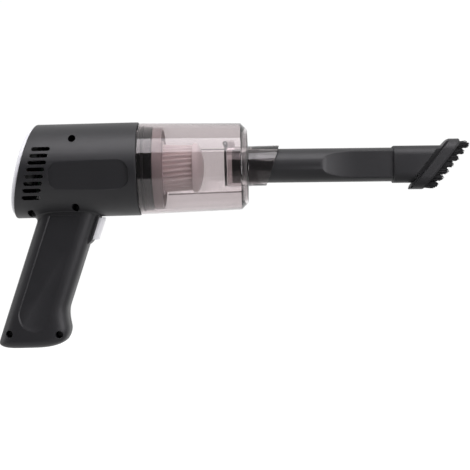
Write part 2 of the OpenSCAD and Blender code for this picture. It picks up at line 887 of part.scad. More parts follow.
module nozzle_form(r, half_flat, x0, x1) {
    curve = [for (k = [0 : scoop_steps])
        [scoop_x + scoop_len * k / scoop_steps, r - (r - half_flat) * scoop_drop(k / scoop_steps)]];
    outside = [[x1 + past, half_flat], [x1 + past, 2 * r], [scoop_x, 2 * r]];
    difference() {
        along_x(x0) cylinder(r = r, h = x1 - x0);
        for (turn = [0, 180])
            rotate([turn, 0, 0])
                linear_extrude(height = 4 * r, center = true) polygon(concat(curve, outside));
    }
}

module crevice_nozzle() {
    bore = nozzle_r - nozzle_wall;
    half_flat = nozzle_flat / 2;
    color("#29292b") at_nozzle() difference() {
        nozzle_form(nozzle_r, half_flat, nozzle_x, nozzle_tip_x);
        nozzle_form(bore, half_flat - nozzle_wall, nozzle_x - past, nozzle_tip_x + past);
    }
}

// Brush head: an oval collar over the nozzle's tip and a slanted flange with its edge along the nozzle's line
module nozzle_section(gap) {
    intersection() {
        circle(r = nozzle_r + gap);
        square([far, nozzle_flat + 2 * gap], center = true);
    }
}

module flange_bar() {
    rotate([0, 0, 180]) rotate([0, -90 - flange_slant, 0]) along_x(-far / 2) linear_extrude(height = far)
        rounded(flange_len * cos(flange_slant), flange_w, flange_corner);
}

module flange_slice(t) {
    intersection() {
        flange_bar();
        translate([-far / 2, -far / 2, -t]) cube([far, far, t]);
    }
}

module brush_head() {
    color("#262628") difference() {
        union() {
            at_nozzle() along_x(collar_x) linear_extrude(height = far / 3)
                rounded(collar_h, collar_w, collar_corner);
            at_flange() flange_slice(flange_t);
        }
        at_flange() translate([-far / 2, -far / 2, -backing_t]) cube(far);
        at_nozzle() along_x(collar_x - past) linear_extrude(height = collar_grip + past + brush_gap)
            nozzle_section(brush_gap);
        at_nozzle() along_x(nozzle_tip_x - past) linear_extrude(height = far / 2)
            rounded(duct_h, duct_w, duct_w / 3);
        at_flange() translate([0, 0, -flange_t / 2]) linear_extrude(height = far)
            rounded(mouth_h, mouth_w, mouth_corner);
    }
}

// Places of the tufts on the flange: a long row at each side and a pair at each end
function side_places(side) =
    [for (i = [0 : tuft_count - 1])
        let (last = tuft_count - 1, s = row_top_s + (row_low_s - row_top_s) * i / last)
        [s, side * (i == last ? row_low_y : row_y)]];
function end_places(end) =
    [for (side = [-1, 1]) [end > 0 ? end_top_s : end_low_s, side * end_row_y]];

// One strand, a slim prism along the nozzle's line that leans out from the middle of its tuft
module strand(place, k) {
    out = tuft_r * sqrt((k + 0.5) / tuft_strands);
    turn = golden_turn * k;
    across = [cos(flange_slant), 0, -sin(flange_slant)];
    side = [0, 1, 0];
    along = [sin(flange_slant), 0, cos(flange_slant)];
    offset = out * (cos(turn) * across + sin(turn) * side);
    reach = bristle_len * (1 - 0.08 * (k % 4) / 3);
    sunk = (offset[2] + backing_t / 2) / cos(flange_slant);
    root = [place[0], place[1], 0] + offset - sunk * along;
    tip = [place[0], place[1], 0] + tuft_splay * offset + reach * along;
    corners = [for (i = [0 : strand_sides - 1])
        strand_r * (cos(360 * i / strand_sides) * across - sin(360 * i / strand_sides) * side)];
    points = concat([for (c = corners) root + c], [for (c = corners) tip + 0.6 * c]);
    polyhedron(points, loft_faces(2, strand_sides));
}

// A strip of the backing, cut from the flange's outline by the children, with the tufts it holds
module bristle_strip(places) {
    color("#1d1d1f") at_flange() resize([0, 0, 0]) union() {
        intersection() {
            flange_slice(backing_t);
            translate([0, 0, -backing_t - past]) linear_extrude(height = backing_t + 2 * past) children();
        }
        for (place = places, k = [0 : tuft_strands - 1]) strand(place, k);
    }
}

module side_bristles(side) {
    bristle_strip(side_places(side))
        translate([0, side * (mouth_w + bristle_strip_w) / 2])
            square([flange_len, bristle_strip_w], center = true);
}

module end_bristles(end) {
    bristle_strip(end_places(end)) difference() {
        translate([end * flange_len / 2, 0]) square([flange_len, mouth_w], center = true);
        rounded(mouth_h, mouth_w + past, mouth_corner);
    }
}

module bristles_right() {
    side_bristles(-1);
}

module bristles_left() {
    side_bristles(1);
}

module bristles_top() {
    end_bristles(1);
}

module bristles_low() {
    end_bristles(-1);
}

// Motor
module motor_can() {
    color("#a6a8ac") difference() {
        along_x(motor_x) cylinder(r = motor_r, h = motor_len);
        along_x(motor_x - past) cylinder(r = motor_r - can_wall, h = motor_len - can_wall + past);
        along_x(motor_x) cylinder(r = bush_r, h = motor_len + past);
        bracket_screw_holes();
    }
}

module bracket_screw_holes() {
    for (side = [-1, 1])
        translate([0, side * bracket_screw_pitch, 0]) along_x(bracket_x - 4)
            cylinder(r = small_screw_r + running_gap, h = 4 + bracket_t + past);
}

module motor_magnets() {
    outer = motor_r - can_wall - seat_gap / 2;
    gap = 0.9 * outer;
    color("#4c4c50") difference() {
        ring(armature_x - 1, armature_len + 2, outer, outer - magnet_t);
        translate([-far, -far, -gap / 2]) cube([2 * far, 2 * far, gap]);
    }
}

module motor_end_bell() {
    color("#2e2e30") difference() {
        union() {
            along_x(motor_x - bell_t) cylinder(r = motor_r, h = bell_t);
            along_x(motor_x - bell_t - bell_hub_t) cylinder(r = bell_hub_r, h = bell_hub_t + past);
        }
        along_x(motor_x - bell_t - bell_hub_t - past) cylinder(r = bush_r, h = far);
    }
}

module motor_bushes() {
    color("#b08d4a") for (x = [motor_x - bell_t - bell_hub_t, bracket_x - bush_t])
        ring(x, bush_t, bush_r, shaft_r + running_gap);
}

module motor_damper() {
    color("#1f1f20") ring(damper_x, damper_w, damper_r, motor_r + seat_gap / 2);
}

module motor_bracket() {
    hole_r = 4.2;
    color("#3b3b3e") difference() {
        along_x(bracket_x) cylinder(r = bore_r - 0.2, h = bracket_t);
        along_x(bracket_x - past) cylinder(r = bush_r + 2, h = bracket_t + 2 * past);
        for (a = [22.5 : 45 : 337.5])
            rotate([a, 0, 0]) translate([0, 0, (motor_r + shroud_r) / 2]) along_x(bracket_x - past)
                cylinder(r = hole_r, h = bracket_t + 2 * past);
        bracket_screw_holes();
    }
}

module motor_screws() {
    color("#c9c9cc") for (side = [-1, 1])
        translate([0, side * bracket_screw_pitch, 0]) {
            along_x(bracket_x - 2.4) cylinder(r = small_screw_r, h = 2.4 + bracket_t);
            along_x(shroud_x) cylinder(r = small_head_r, h = small_head_h);
        }
}

module fan_shroud() {
    color("#46464a") difference() {
        along_x(shroud_x) cylinder(r = shroud_r, h = shroud_end - shroud_x);
        along_x(shroud_x - past)
            cylinder(r = shroud_r - shroud_wall, h = shroud_end - shroud_x - shroud_wall + past);
        along_x(shroud_x) cylinder(r = eye_r, h = far);
    }
}

module motor_shaft() {
    start = motor_x - bell_t - bell_hub_t + 0.5;
    color("#d0d0d4") along_x(start)
        cylinder(r = shaft_r, h = impeller_x + impeller_t + blade_h + nut_t + 0.4 - start);
}

module armature() {
    slot_w = 2;
    color("#8a5a3c") difference() {
        ring(armature_x, armature_len, armature_r, shaft_r);
        for (a = [0 : 72 : 288])
            rotate([a, 0, 0]) translate([armature_x - past, -slot_w / 2, armature_r / 2])
                cube([armature_len + 2 * past, slot_w, armature_r]);
    }
}

module commutator() {
    color("#b5703c") ring(armature_x - commutator_len, commutator_len - 1, commutator_r, shaft_r);
}

module impeller() {
    blade_r = 0.8 * impeller_r;
    color("#5b5b60") {
        ring(impeller_x, impeller_t, impeller_r, shaft_r);
        ring(impeller_x, impeller_t + blade_h, hub_r, shaft_r);
        along_x(impeller_x + impeller_t / 2) linear_extrude(height = impeller_t / 2 + blade_h - 0.6)
            for (k = [0 : blade_count - 1])
                rotate(360 * k / blade_count) intersection() {
                    translate([hub_r - 1, -impeller_r]) square([impeller_r, impeller_r]);
                    circle(r = impeller_r - 0.5);
                    translate([blade_r / 2, -blade_r]) difference() {
                        circle(r = blade_r);
                        circle(r = blade_r - blade_t);
                    }
                }
    }
}

module impeller_nut() {
    color("#c4a052") along_x(impeller_x + impeller_t + blade_h) difference() {
        cylinder(r = nut_r, h = nut_t, $fn = 6);
        translate([0, 0, -past]) cylinder(r = shaft_r, h = nut_t + 2 * past);
    }
}

// Battery pack, in a frame whose Z runs up the handle
module at_pack() {
    translate([handle_mid(pack_mid_z), 0, pack_mid_z]) rotate([0, handle_lean, 0]) children();
}

module battery_cells() {
    color("#3f7f8f") at_pack() for (side = [-1, 1])
        translate([side * cell_pitch / 2, 0, -cell_len / 2]) cylinder(r = cell_r, h = cell_len);
}

module battery_tray() {
    plate_w = 2 * cell_r + 1.6;
    color("#55565a") at_pack() {
        translate([0, 0, pack_len / 2]) linear_extrude(height = tray_plate) stadium(tray_depth, plate_w);
        translate([0, 0, -pack_len / 2 - tray_plate]) linear_extrude(height = tray_plate)
            stadium(tray_foot, plate_w);
        translate([-cell_r, cell_r + tray_gap, -pack_len / 2 - tray_plate])
            cube([2 * cell_r, tray_web, pack_len + 2 * tray_plate]);
    }
}

module cell_contacts() {
    color("#c9cacd") at_pack() for (end = [-1, 1])
        translate([0, 0, end * (cell_len / 2 + contact_t / 2)])
            linear_extrude(height = contact_t, center = true)
                rounded(cell_pitch + strip_over, strip_w, strip_corner);
}

// Charge and control pieces, in the rear plane's own frame
module control_board() {
    color("#2f6b3c") at_rear() difference() {
        union() {
            translate([board_x, -board_w / 2, board_z - board_h / 2]) cube([board_t, board_w, board_h]);
            for (chip = [[-3, 4, 7, 6], [4, -2.6, 5, 5]])
                translate([board_x + board_t - 0.1, chip[0] - chip[2] / 2, board_z + chip[1] - chip[3] / 2])
                    cube([1.5, chip[2], chip[3]]);
        }
        for (y = [-1, 1], z = [-1, 1])
            translate([0, y * post_y, board_z + z * post_z]) along_x(board_x - past)
                cylinder(r = small_screw_r + running_gap, h = board_t + 2 * past);
    }
}

module board_screws() {
    color("#c9c9cc") at_rear() for (y = [-1, 1], z = [-1, 1])
        translate([0, y * post_y, board_z + z * post_z]) {
            along_x(board_x - board_screw_len) cylinder(r = small_screw_r, h = board_screw_len + board_t);
            along_x(board_x + board_t) cylinder(r = small_head_r, h = small_head_h);
        }
}

module charge_socket() {
    depth = plug_depth + jack_bore_len;
    color("#1a1a1c") at_rear() translate([0, 0, socket_z]) {
        difference() {
            along_x(-cover_proud) cylinder(r = jack_r, h = cover_proud + board_x);
            along_x(-cover_proud - past) cylinder(r = plug_r, h = plug_depth + past);
            along_x(-cover_proud) cylinder(r = jack_bore_r, h = depth);
        }
        along_x(-cover_proud + plug_depth + 0.5) cylinder(r = jack_pin_r, h = jack_bore_len + 1);
    }
}

module charge_lamp() {
    color("#e9e4d4") at_rear() translate([0, 0, lamp_z]) along_x(-cover_proud)
        cylinder(r = lamp_r, h = cover_proud + board_x);
}

// A lead along a route of places in the XZ plane, set off to one side
function lead_ring(route, k, y) =
    let (a = route[max(0, k - 1)], b = route[min(len(route) - 1, k + 1)])
    let (t = (b - a) / norm(b - a))
    [for (i = [0 : lead_sides - 1])
        let (turn = 360 * i / lead_sides)
        let (out = lead_r * cos(turn))
        [route[k][0] - out * t[1], y + lead_r * sin(turn), route[k][1] + out * t[0]]];

module lead(route, y) {
    points = [for (k = [0 : len(route) - 1]) each lead_ring(route, k, y)];
    polyhedron(points, loft_faces(len(route), lead_sides));
}

module battery_leads() {
    for (side = [-1, 1])
        color(side < 0 ? "#b02a2a" : "#222224") lead(battery_lead_route, battery_lead_y * side);
}

module switch_leads() {
    for (side = [-1, 1]) color("#d9b23a") lead(switch_lead_route, switch_lead_y * side);
}

module motor_leads() {
    for (side = [-1, 1])
        color(side < 0 ? "#b02a2a" : "#222224") lead(motor_lead_route, motor_lead_y * side);
}

from_grip() housing_right();
from_grip() housing_left();
from_grip() rear_cover();
from_grip() housing_screws();
from_grip() trigger();
from_grip() trigger_spring();
from_grip() power_switch();
from_grip() switch_plunger();
from_grip() front_collar();
from_grip() collar_seal();
from_grip() dust_cup();
from_grip() flap_pin();
from_grip() inlet_flap();
from_grip() filter_frame();
from_grip() filter_pleats();
from_grip() filter_cap();
from_grip() filter_gasket();
from_grip() crevice_nozzle();
from_grip() brush_head();
from_grip() bristles_right();
from_grip() bristles_left();
from_grip() bristles_top();
from_grip() bristles_low();
from_grip() motor_can();
from_grip() motor_magnets();
from_grip() motor_end_bell();
from_grip() motor_bushes();
from_grip() motor_damper();
from_grip() motor_bracket();
from_grip() motor_screws();
from_grip() fan_shroud();
from_grip() motor_shaft();
from_grip() armature();
from_grip() commutator();
from_grip() impeller();
from_grip() impeller_nut();
from_grip() battery_cells();
from_grip() battery_tray();
from_grip() cell_contacts();
from_grip() control_board();
from_grip() board_screws();
from_grip() charge_socket();
from_grip() charge_lamp();
from_grip() battery_leads();
from_grip() switch_leads();
from_grip() motor_leads();
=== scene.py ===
# Cordless car vacuum cleaner with a pistol grip: the visible pieces, their finishes and the studio.
# Pieces are modelled in millimetres from the middle of the housing's front rim, with the suction axis
# along +X, and are carried to the grip when they are handed over.
import math
import random

import bmesh
import bpy
from mathutils import Matrix, Vector


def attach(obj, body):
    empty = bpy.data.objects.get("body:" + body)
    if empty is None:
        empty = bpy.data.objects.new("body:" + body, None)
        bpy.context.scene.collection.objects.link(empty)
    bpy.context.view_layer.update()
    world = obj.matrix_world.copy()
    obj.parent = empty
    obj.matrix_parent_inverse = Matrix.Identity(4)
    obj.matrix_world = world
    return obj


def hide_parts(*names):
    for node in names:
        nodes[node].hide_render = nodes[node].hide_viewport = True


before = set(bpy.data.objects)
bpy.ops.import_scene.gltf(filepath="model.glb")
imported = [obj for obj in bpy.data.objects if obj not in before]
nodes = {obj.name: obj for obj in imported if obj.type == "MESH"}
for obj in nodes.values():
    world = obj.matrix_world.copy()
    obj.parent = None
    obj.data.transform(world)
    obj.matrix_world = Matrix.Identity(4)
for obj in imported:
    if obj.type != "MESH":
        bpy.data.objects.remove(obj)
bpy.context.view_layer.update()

# Shared values: a millimetre and the merging distance in metres, the front rim's middle seen from the grip
# in millimetres, and the sides of a finely turned piece
MM = 0.001
MERGE = 2e-6
GRIP = Vector((73.3085, 0.0, 85.0))
FINE = 192
FULL_TURN = 2 * math.pi

# Body
BODY_R = 36.0
BORE_R = 33.8
BODY_LEN = 86.9
BODY_BLANK = 118.0
FRONT_EASE = 0.6
REAR_EASE = 1.0
REAR_SLANT = math.radians(13.8)
SEAM = 0.08
VENT_COUNT = 8
VENT_TOP = 14.4
VENT_PITCH = 5.14
VENT_LEN = 13.8
VENT_H = 3.0
VENT_CORNER = VENT_H / 2 - 0.01
VENT_INSET = 5.9
THUMB_LEN = 59.5
THUMB_H = 22.0
THUMB_CORNER = 9.0
THUMB_BRIM = 6.0
THUMB_FLARE = (1.03, 1.1, 1)
THUMB_MID = -35.5
THUMB_SUNK = 1.7
THUMB_TURN = math.radians(9.8)
THUMB_TILT = math.radians(0.6)

# Housing screws
SCREW_SPOTS = [(-47.97, 22.2), (-81.98, -32.9), (-47.36, -29.2), (-101.14, -124.3), (-63.37, -125.7)]
POCKET_R = 2.8
BOSS_R = 4.0
SCREW_SEAT = 5.0
HEAD_R = 2.5
HEAD_H = 2.0
HEAD_ROUND = 0.8
THREAD_R = 1.15
THREAD_ROOT = 0.95
THREAD_START = 1.5
THREAD_TURNS = 13
THREAD_RISE = 0.5
SCREW_TIP = 10.0
POINT_LEN = 0.8
POINT_R = 0.9
CROSS_LEN = 2.6
CROSS_W = 0.7
CROSS_DEEP = 1.1

# Rear cover
COVER_R = 34.6
COVER_PROUD = 3.0
COVER_REBATE = 1.4
COVER_PLAY = 0.1
COVER_WALL = 2.2
COVER_SOFT = 2.0
SOCKET_HOLE = (-14, 5.1)
LAMP_HOLE = (2, 1.7)
HOLE_LEAD_IN = 0.4
POST_SPOTS = [(y, z) for y in (-10, 10) for z in (-21, 5)]
POST_R = 3.0
POST_BORE = 1.1
POST_FOOT = -0.78
POST_END = 12.0
POST_EASE = 0.3
# A thin sheet over the cover's back, near black as painted shade seen through the vents
BACK_START = 0.02
BACK_END = 0.4
BACK_HOLE_PLAY = 0.2

# Handle
HANDLE_LEAN = math.tan(math.radians(19))
HANDLE_DEPTH = 45.3
HANDLE_W = 33.0
HANDLE_DROP = 130.0
HANDLE_POWER = 3.6
HEEL = (-79.55, -39.1)
RING_SIDES = 96
# The toe swells by a power of its depth, and past TOE_TURN of its span turns over along a parabola
TOE_FLARE = 7.7
TOE_START = 104.0
TOE_SPAN = 18.6
TOE_POWER = 1.6
TOE_TURN = 0.8
TOE_CREST = 0.70
TOE_RISE = 1.4
TOE_FALL = 1.9
TOE_RINGS = 14
BASE_CROWN = 6.0
BASE_RINGS = 10
BASE_STEP = 8.7
HANDLE_LEVELS = (-52, -65, -78, -91, -TOE_START)
HOLLOW_LEVELS = (-20, -52, -78, -TOE_START)
WALL = 2.2
REAR_WALL = 1.0
FRONT_WALL = 1.75
ROOT_REAR = 4.6
ROOT_FRONT = 3.0
ROOT_SIDE = 0.35
ROOT_SUNK = 1.0
ROOT_DEGREES = (80, 66, 52, 38, 25, 12, 0)
PANEL_HALF = 12.2
PANEL_MID = 22.55
PANEL_LOW = -109.8
PANEL_TOP = -35.0
PANEL_STEPS = 32
PANEL_FRONT_DEEP = 0.35
PANEL_DEEPENS = 0.95
PANEL_SLOPE = 5.2
PANEL_RUN_OUT = 0.73
PANEL_BRIM = 2.0

# Trigger
TRIGGER_Z = -45.4
TRIGGER_H = 17.0
TRIGGER_W = 12.8
TRIGGER_OUT = 6.2
TRIGGER_BACK = -50.59
TRIGGER_PLAY = 0.3
TRIGGER_SLOT = 24.8
SLOT_CORNER = 0.4
FACE_ROUND = 3.4
FACE_EASE = 0.9
SPRING_Z = -46.0
SEAT_DEEP = 4.6
SEAT_INNER = 2.2
SEAT_OUTER = 3.2
RIM_OUT = 2.1
RIM_WALL = 2.2
RIM_SLOPE = 3.5
RIM_UNDER = 0.7
RIM_SUNK = 3.0
RIM_EASE = 1.1

# Cup, inlet and flap
CUP_REAR = (0.4, 35.2)
CUP_EDGE = (78.6, 33.4)
CUP_LEN = 83.6
CUP_WALL = 1.6
CUP_LIP = 0.4
SKIN_R = 30.0
SKIN_END = 0.3
INLET_R = 15.5
INLET_BORE = 13.45
INLET_IN = 66.5
INLET_LOW = 97.8
INLET_BLANK = 120.0
INLET_EASE = 0.3
MOUTH_SLANT = math.radians(18.5)
MOUTH_EASE = 0.35
RIB_TURNS = (30.5, -37.0)
RIB_INSET = 0.7
RIB_END = 77.6
RIB_H = 0.7
RIB_W = 1.0
RIB_GAP = 0.03
RIB_EASE = 0.15
FLAP_X = 64.9
FLAP_T = 0.9
FLAP_R = 15.1
FLAP_EASE = 0.35
NECK_H = 5.4
NECK_OUT = 0.4
NECK_SUNK = 0.05
PIN_X = 65.5
PIN_Z = 17.5
PIN_R = 0.9
PIN_PLAY = 0.06
BARREL_R = 1.8
BARREL_W = 9.0
BARREL_EASE = 0.25
EAR_LEN = 6.0
EAR_W = 2.4
EAR_GAP = 0.3
EAR_ROOT = 1.2

# Collar and filter
PLUG_LEN = 3.0
PLUG_R = 33.6
COLLAR_BORE = 28.65
COLLAR_WEB = 2.5
SPIGOT = 11.0
SPIGOT_R = 32.5
SEAL_GROOVE = (2.9, 5.1)
SEAL_GROOVE_R = 30.8
SEAL_MIDDLE = (4, 31.85)
SEAL_ROUND = 1.0
SOCKET_LEN = 6.0
SOCKET_R = 22.8
SOCKET_BORE = 21.0
LEAD_IN = 0.4
RIM_ROUND = 0.5
FILTER_X = 11.3
FILTER_R = 31.6
SLEEVE_LEN = 5.0
SLEEVE_R = 20.8
SLEEVE_BORE = 19.0
GASKET_ROOM = (23.45, 27.55)
GASKET_DEEP = 1.3
DISH_WALL = 2.4
DISH_R = 29.6
HUB_R = 20.9
CAGE_R = 11.0
CAGE_BAR = 2.0
CAGE_TURNS = (45, 135, 225, 315)
PLEAT_X = 18.5
PLEAT_LEN = 22.0
PLEAT_R = 18.5
PLEAT_DEPTH = 2.6
PLEAT_COUNT = 28
PLEAT_STEPS = 10
PLEAT_RINGS = 8
PLEAT_POWER = 0.45
PLEAT_TAPER = 1.0
PLEAT_TWIST = math.radians(6.5)
PAPER_T = 0.7
CAP_X = 40.5
CAP_R = PLEAT_R + 0.5
CAP_EASE = 0.5
CAP_BAND = 3.2
CAP_SHOULDER = (3.9, 0.35)
CAP_DOME_X = 4.0
CAP_DOME = 4.4
CAP_DOME_INSET = 0.6
CAP_RINGS = 12

# Nozzle
DROOP_X = 90.5
DROOP = math.radians(0.8)
NOZZLE_X = 70.7
NOZZLE_TIP = 213.7
NOZZLE_R = 13.1
NOZZLE_WALL = 1.8
SCOOP_X = 137.7
SCOOP_LEN = 30.0
SCOOP_STEPS = 32
SCOOP_SOFT = 0.2
HALF_FLAT = 8.1

# Brush
OVAL_X = 195.7
OVAL_H = 28.6
OVAL_W = 20.4
OVAL_CORNER = 8.0
OVAL_LEN = 66.0
OVAL_EASE = 0.7
TIP_PLAY = 0.3
DUCT_CORNER = 4.2
FLANGE_X = 234.0
FLANGE_SLANT = math.radians(38.5)
FLANGE_LEN = 49.4
FLANGE_W = 25.0
FLANGE_CORNER = 10.0
FLANGE_BLANK = 80.0
FLANGE_T = 9.0
FLANGE_TIP = 208.8
FLANGE_NOSE = 246.2
FLANGE_EASE = 1.2
FLANGE_RIM = 7.4
GROOVE_W = 3.8
GROOVE_CORE = 16.8
BACKING_T = 1.4
MOUTH_LEN = 34.0
MOUTH_W = 12.4
MOUTH_CORNER = 5.0

# Bristles: each ring of a strand is its share of the length, its radius and its bow
STRAND_RINGS = ((0.0, 0.30, 0.0), (0.35, 0.30, 0.06), (0.7, 0.28, 0.18), (1.0, 0.20, 0.36))
STRAND_SIDES = 5
STRAND_ROOT = 1.6
STRAND_OUT = 9.2
STRAND_SHORTER = 2.6
STRAND_RAGGED = 0.84
STRAND_LEAN = 0.045
STRAND_STRAY = 0.012
TUFT_STRANDS = 48
TUFT_R = 1.7
TUFT_STRAY = 0.2
TUFT_KINDS = 3
TUFT_WORN = 0.94
GOLDEN_TURN = 2.39996
DRAW_SEED = 11
ROW_TUFTS = 7
ROW_TOP = 17.4
ROW_LOW = -20.4
ROW_Y = 9.35
ROW_LOW_Y = 7.7
END_TUFTS = ((19.1, 3.6), (-20.9, 3.6))


def turn_about(spot, angle, axis):
    """A turn about an axis through a spot, in millimetres."""
    middle = Vector(spot)
    return Matrix.Translation(middle) @ Matrix.Rotation(angle, 4, axis) @ Matrix.Translation(-middle)


def lined_up(spot, x_way, z_way):
    """A frame at a spot whose X and Z run the given ways."""
    x_way = Vector(x_way).normalized()
    z_way = Vector(z_way).normalized()
    y_way = z_way.cross(x_way)
    turned_axes = Matrix((x_way, y_way, z_way)).transposed().to_4x4()
    return Matrix.Translation(Vector(spot)) @ turned_axes


REAR = Matrix.Translation((-BODY_LEN, 0, 0)) @ Matrix.Rotation(REAR_SLANT, 4, "Y")
NOZZLE = turn_about((DROOP_X, 0, 0), DROOP, "Y")
FORWARDS = (NOZZLE.to_3x3() @ Vector((1, 0, 0))).normalized()
FLANGE_UP = (math.cos(math.radians(90) - FLANGE_SLANT), 0, math.cos(FLANGE_SLANT))
FLANGE_OUT = (math.cos(FLANGE_SLANT), 0, -math.sin(FLANGE_SLANT))
FLANGE = NOZZLE @ lined_up((FLANGE_X, 0, 0), FLANGE_UP, FLANGE_OUT)


# Bench work

def only(piece):
    """Select one piece and nothing else."""
    bpy.ops.object.select_all(action="DESELECT")
    piece.select_set(True)
    bpy.context.view_layer.objects.active = piece


def open_bench(piece):
    """Put a piece on the bench, to be shaped."""
    only(piece)
    bpy.ops.object.mode_set(mode="EDIT")


def close_bench():
    """Take the piece off the bench again."""
    bpy.ops.object.mode_set(mode="OBJECT")


def clean_up():
    """Merge doubled points and turn the faces outwards."""
    bpy.ops.mesh.select_all(action="SELECT")
    bpy.ops.mesh.remove_doubles(threshold=MERGE)
    bpy.ops.mesh.normals_make_consistent(inside=False)


def pick(piece, kind, wanted):
    """With the piece open on the bench, select the edges or faces that pass a test."""
    bpy.ops.mesh.select_mode(type=kind)
    bpy.ops.mesh.select_all(action="DESELECT")
    mesh = bmesh.from_edit_mesh(piece.data)
    parts = mesh.edges if kind == "EDGE" else mesh.faces
    for part in parts:
        if wanted(part):
            part.select_set(True)
    bmesh.update_edit_mesh(piece.data)


def saw_off(spot, way, outer=True, fill=True):
    """Saw the piece on the bench on a plane and drop what lies beyond it, or what lies before it."""
    bpy.ops.mesh.select_all(action="SELECT")
    bpy.ops.mesh.bisect(
        plane_co=spot, plane_no=way, use_fill=fill, clear_outer=outer, clear_inner=not outer
    )


def lies_on(edge, spot, way):
    """Whether an edge lies on a plane."""
    return all(abs((vert.co - spot).dot(way)) < MERGE for vert in edge.verts)


def placed(piece, spot):
    """Carry a finished shape by a frame given in millimetres."""
    shift = spot.copy()
    shift.translation = spot.translation * MM
    piece.matrix_world = shift
    only(piece)
    bpy.ops.object.transform_apply(location=True, rotation=True, scale=True)
    return piece


def chain(points):
    """Start a piece as a single point and draw it out into a chain of edges."""
    first = Vector(points[0]) * MM
    bpy.ops.object.select_all(action="DESELECT")
    bpy.ops.mesh.primitive_plane_add(size=MM, location=first)
    bpy.ops.object.transform_apply(location=True, rotation=True, scale=True)
    piece = bpy.context.object
    bpy.ops.object.mode_set(mode="EDIT")
    bpy.ops.mesh.select_mode(type="VERT")
    bpy.ops.mesh.select_all(action="SELECT")
    bpy.ops.mesh.merge(type="CENTER")
    last = first
    for point in points[1:]:
        here = Vector(point) * MM
        bpy.ops.mesh.extrude_vertices_move(TRANSFORM_OT_translate={"value": here - last})
        last = here
    bpy.ops.mesh.select_all(action="SELECT")
    return piece


def turned(profile, closed=True, steps=FINE):
    """Turn a profile of (place along the axis, radius) round the suction axis."""
    points = [(x, 0, r) for x, r in profile]
    if closed:
        points.append(points[0])
    piece = chain(points)
    bpy.ops.mesh.spin(steps=steps, angle=FULL_TURN, center=(0, 0, 0), axis=(1, 0, 0))
    clean_up()
    close_bench()
    return piece


def rod(x0, x1, radius, steps=64):
    """A plain tool for boring and joining, along the suction axis."""
    return turned([(x0, 0), (x0, radius), (x1, radius), (x1, 0)], closed=False, steps=steps)


def sawn(outline, thick):
    """Saw an outline out of a sheet in XY and make it thick about Z."""
    piece = chain([(x, y, -thick / 2) for x, y in outline])
    bpy.ops.mesh.edge_face_add()
    bpy.ops.mesh.extrude_region_move(TRANSFORM_OT_translate={"value": (0, 0, thick * MM)})
    clean_up()
    close_bench()
    return piece


def plate(length, height, corner, thick, segments=12):
    """A plate with rounded corners in XY, from Z 0 up to its thickness."""
    bpy.ops.object.select_all(action="DESELECT")
    bpy.ops.mesh.primitive_plane_add(size=1)
    piece = bpy.context.object
    piece.scale = (length * MM, height * MM, 1)
    bpy.ops.object.transform_apply(location=True, rotation=True, scale=True)
    bpy.ops.object.mode_set(mode="EDIT")
    bpy.ops.mesh.select_mode(type="VERT")
    bpy.ops.mesh.select_all(action="SELECT")
    bpy.ops.mesh.bevel(
        offset_type="ABSOLUTE", offset=corner * MM, segments=segments, affect="VERTICES", clamp_overlap=True
    )
    bpy.ops.mesh.select_all(action="SELECT")
    bpy.ops.mesh.extrude_region_move(TRANSFORM_OT_translate={"value": (0, 0, thick * MM)})
    clean_up()
    close_bench()
    return piece


def lofted(rings):
    """Draw a tube through rings of points, each extruded from the ring before, and close both ends."""
    count = len(rings[0])
    bpy.ops.object.select_all(action="DESELECT")
    bpy.ops.mesh.primitive_circle_add(vertices=count, radius=MM)
    piece = bpy.context.object
    bpy.ops.object.mode_set(mode="EDIT")
    bpy.ops.mesh.select_mode(type="VERT")
    bpy.ops.mesh.select_all(action="SELECT")
    order = list(range(count))
    for k, ring in enumerate(rings):
        if k:
            bpy.ops.mesh.extrude_region_move(TRANSFORM_OT_translate={"value": (0, 0, MM)})
        mesh = bmesh.from_edit_mesh(piece.data)
        mesh.verts.index_update()
        mesh.verts.ensure_lookup_table()
        if k:
            below = {index: i for i, index in enumerate(order)}
            for vert in mesh.verts[k * count:]:
                for edge in vert.link_edges:
                    other = edge.other_vert(vert).index
                    if other in below:
                        order[below[other]] = vert.index
        for index, spot in zip(order, ring):
            mesh.verts[index].co = Vector(spot) * MM
        bmesh.update_edit_mesh(piece.data)
    bpy.ops.mesh.edge_face_add()
    pick(piece, "EDGE", lambda edge: all(vert.index < count for vert in edge.verts))
    bpy.ops.mesh.edge_face_add()
    clean_up()
    close_bench()
    return piece


def carve(piece, tool, work="DIFFERENCE"):
    """Cut, join or trim a piece by a tool, which is used up."""
    only(piece)
    cut = piece.modifiers.new("carve", "BOOLEAN")
    cut.operation = work
    cut.solver = "MANIFOLD"
    cut.object = tool
    bpy.ops.object.modifier_apply(modifier=cut.name)
    bpy.data.objects.remove(tool, do_unlink=True)
    return piece


def twin(piece):
    """A copy with its own mesh."""
    copy = piece.copy()
    copy.data = piece.data.copy()
    bpy.context.collection.objects.link(copy)
    return copy


def welded(parts):
    """Join several parts into one piece."""
    bpy.ops.object.select_all(action="DESELECT")
    for part in parts:
        part.select_set(True)
    bpy.context.view_layer.objects.active = parts[0]
    bpy.ops.object.join()
    return parts[0]


def soften(piece, width, segments=2, angle=40):
    """Ease the sharp edges of a piece."""
    only(piece)
    ease = piece.modifiers.new("ease", "BEVEL")
    ease.width = width * MM
    ease.segments = segments
    ease.limit_method = "ANGLE"
    ease.angle_limit = math.radians(angle)
    bpy.ops.object.modifier_apply(modifier=ease.name)
    return piece


def hand_over(piece, name, body, finish, stands_for, angle=35):
    """Shade a piece, carry it to the grip frame, finish it and fix it to its body."""
    only(piece)
    bpy.ops.object.shade_smooth_by_angle(angle=math.radians(angle))
    piece.name = name
    piece.data.name = name
    placed(piece, Matrix.Translation(GRIP))
    piece.data.materials.clear()
    piece.data.materials.append(finish)
    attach(piece, body)
    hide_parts(*stands_for)


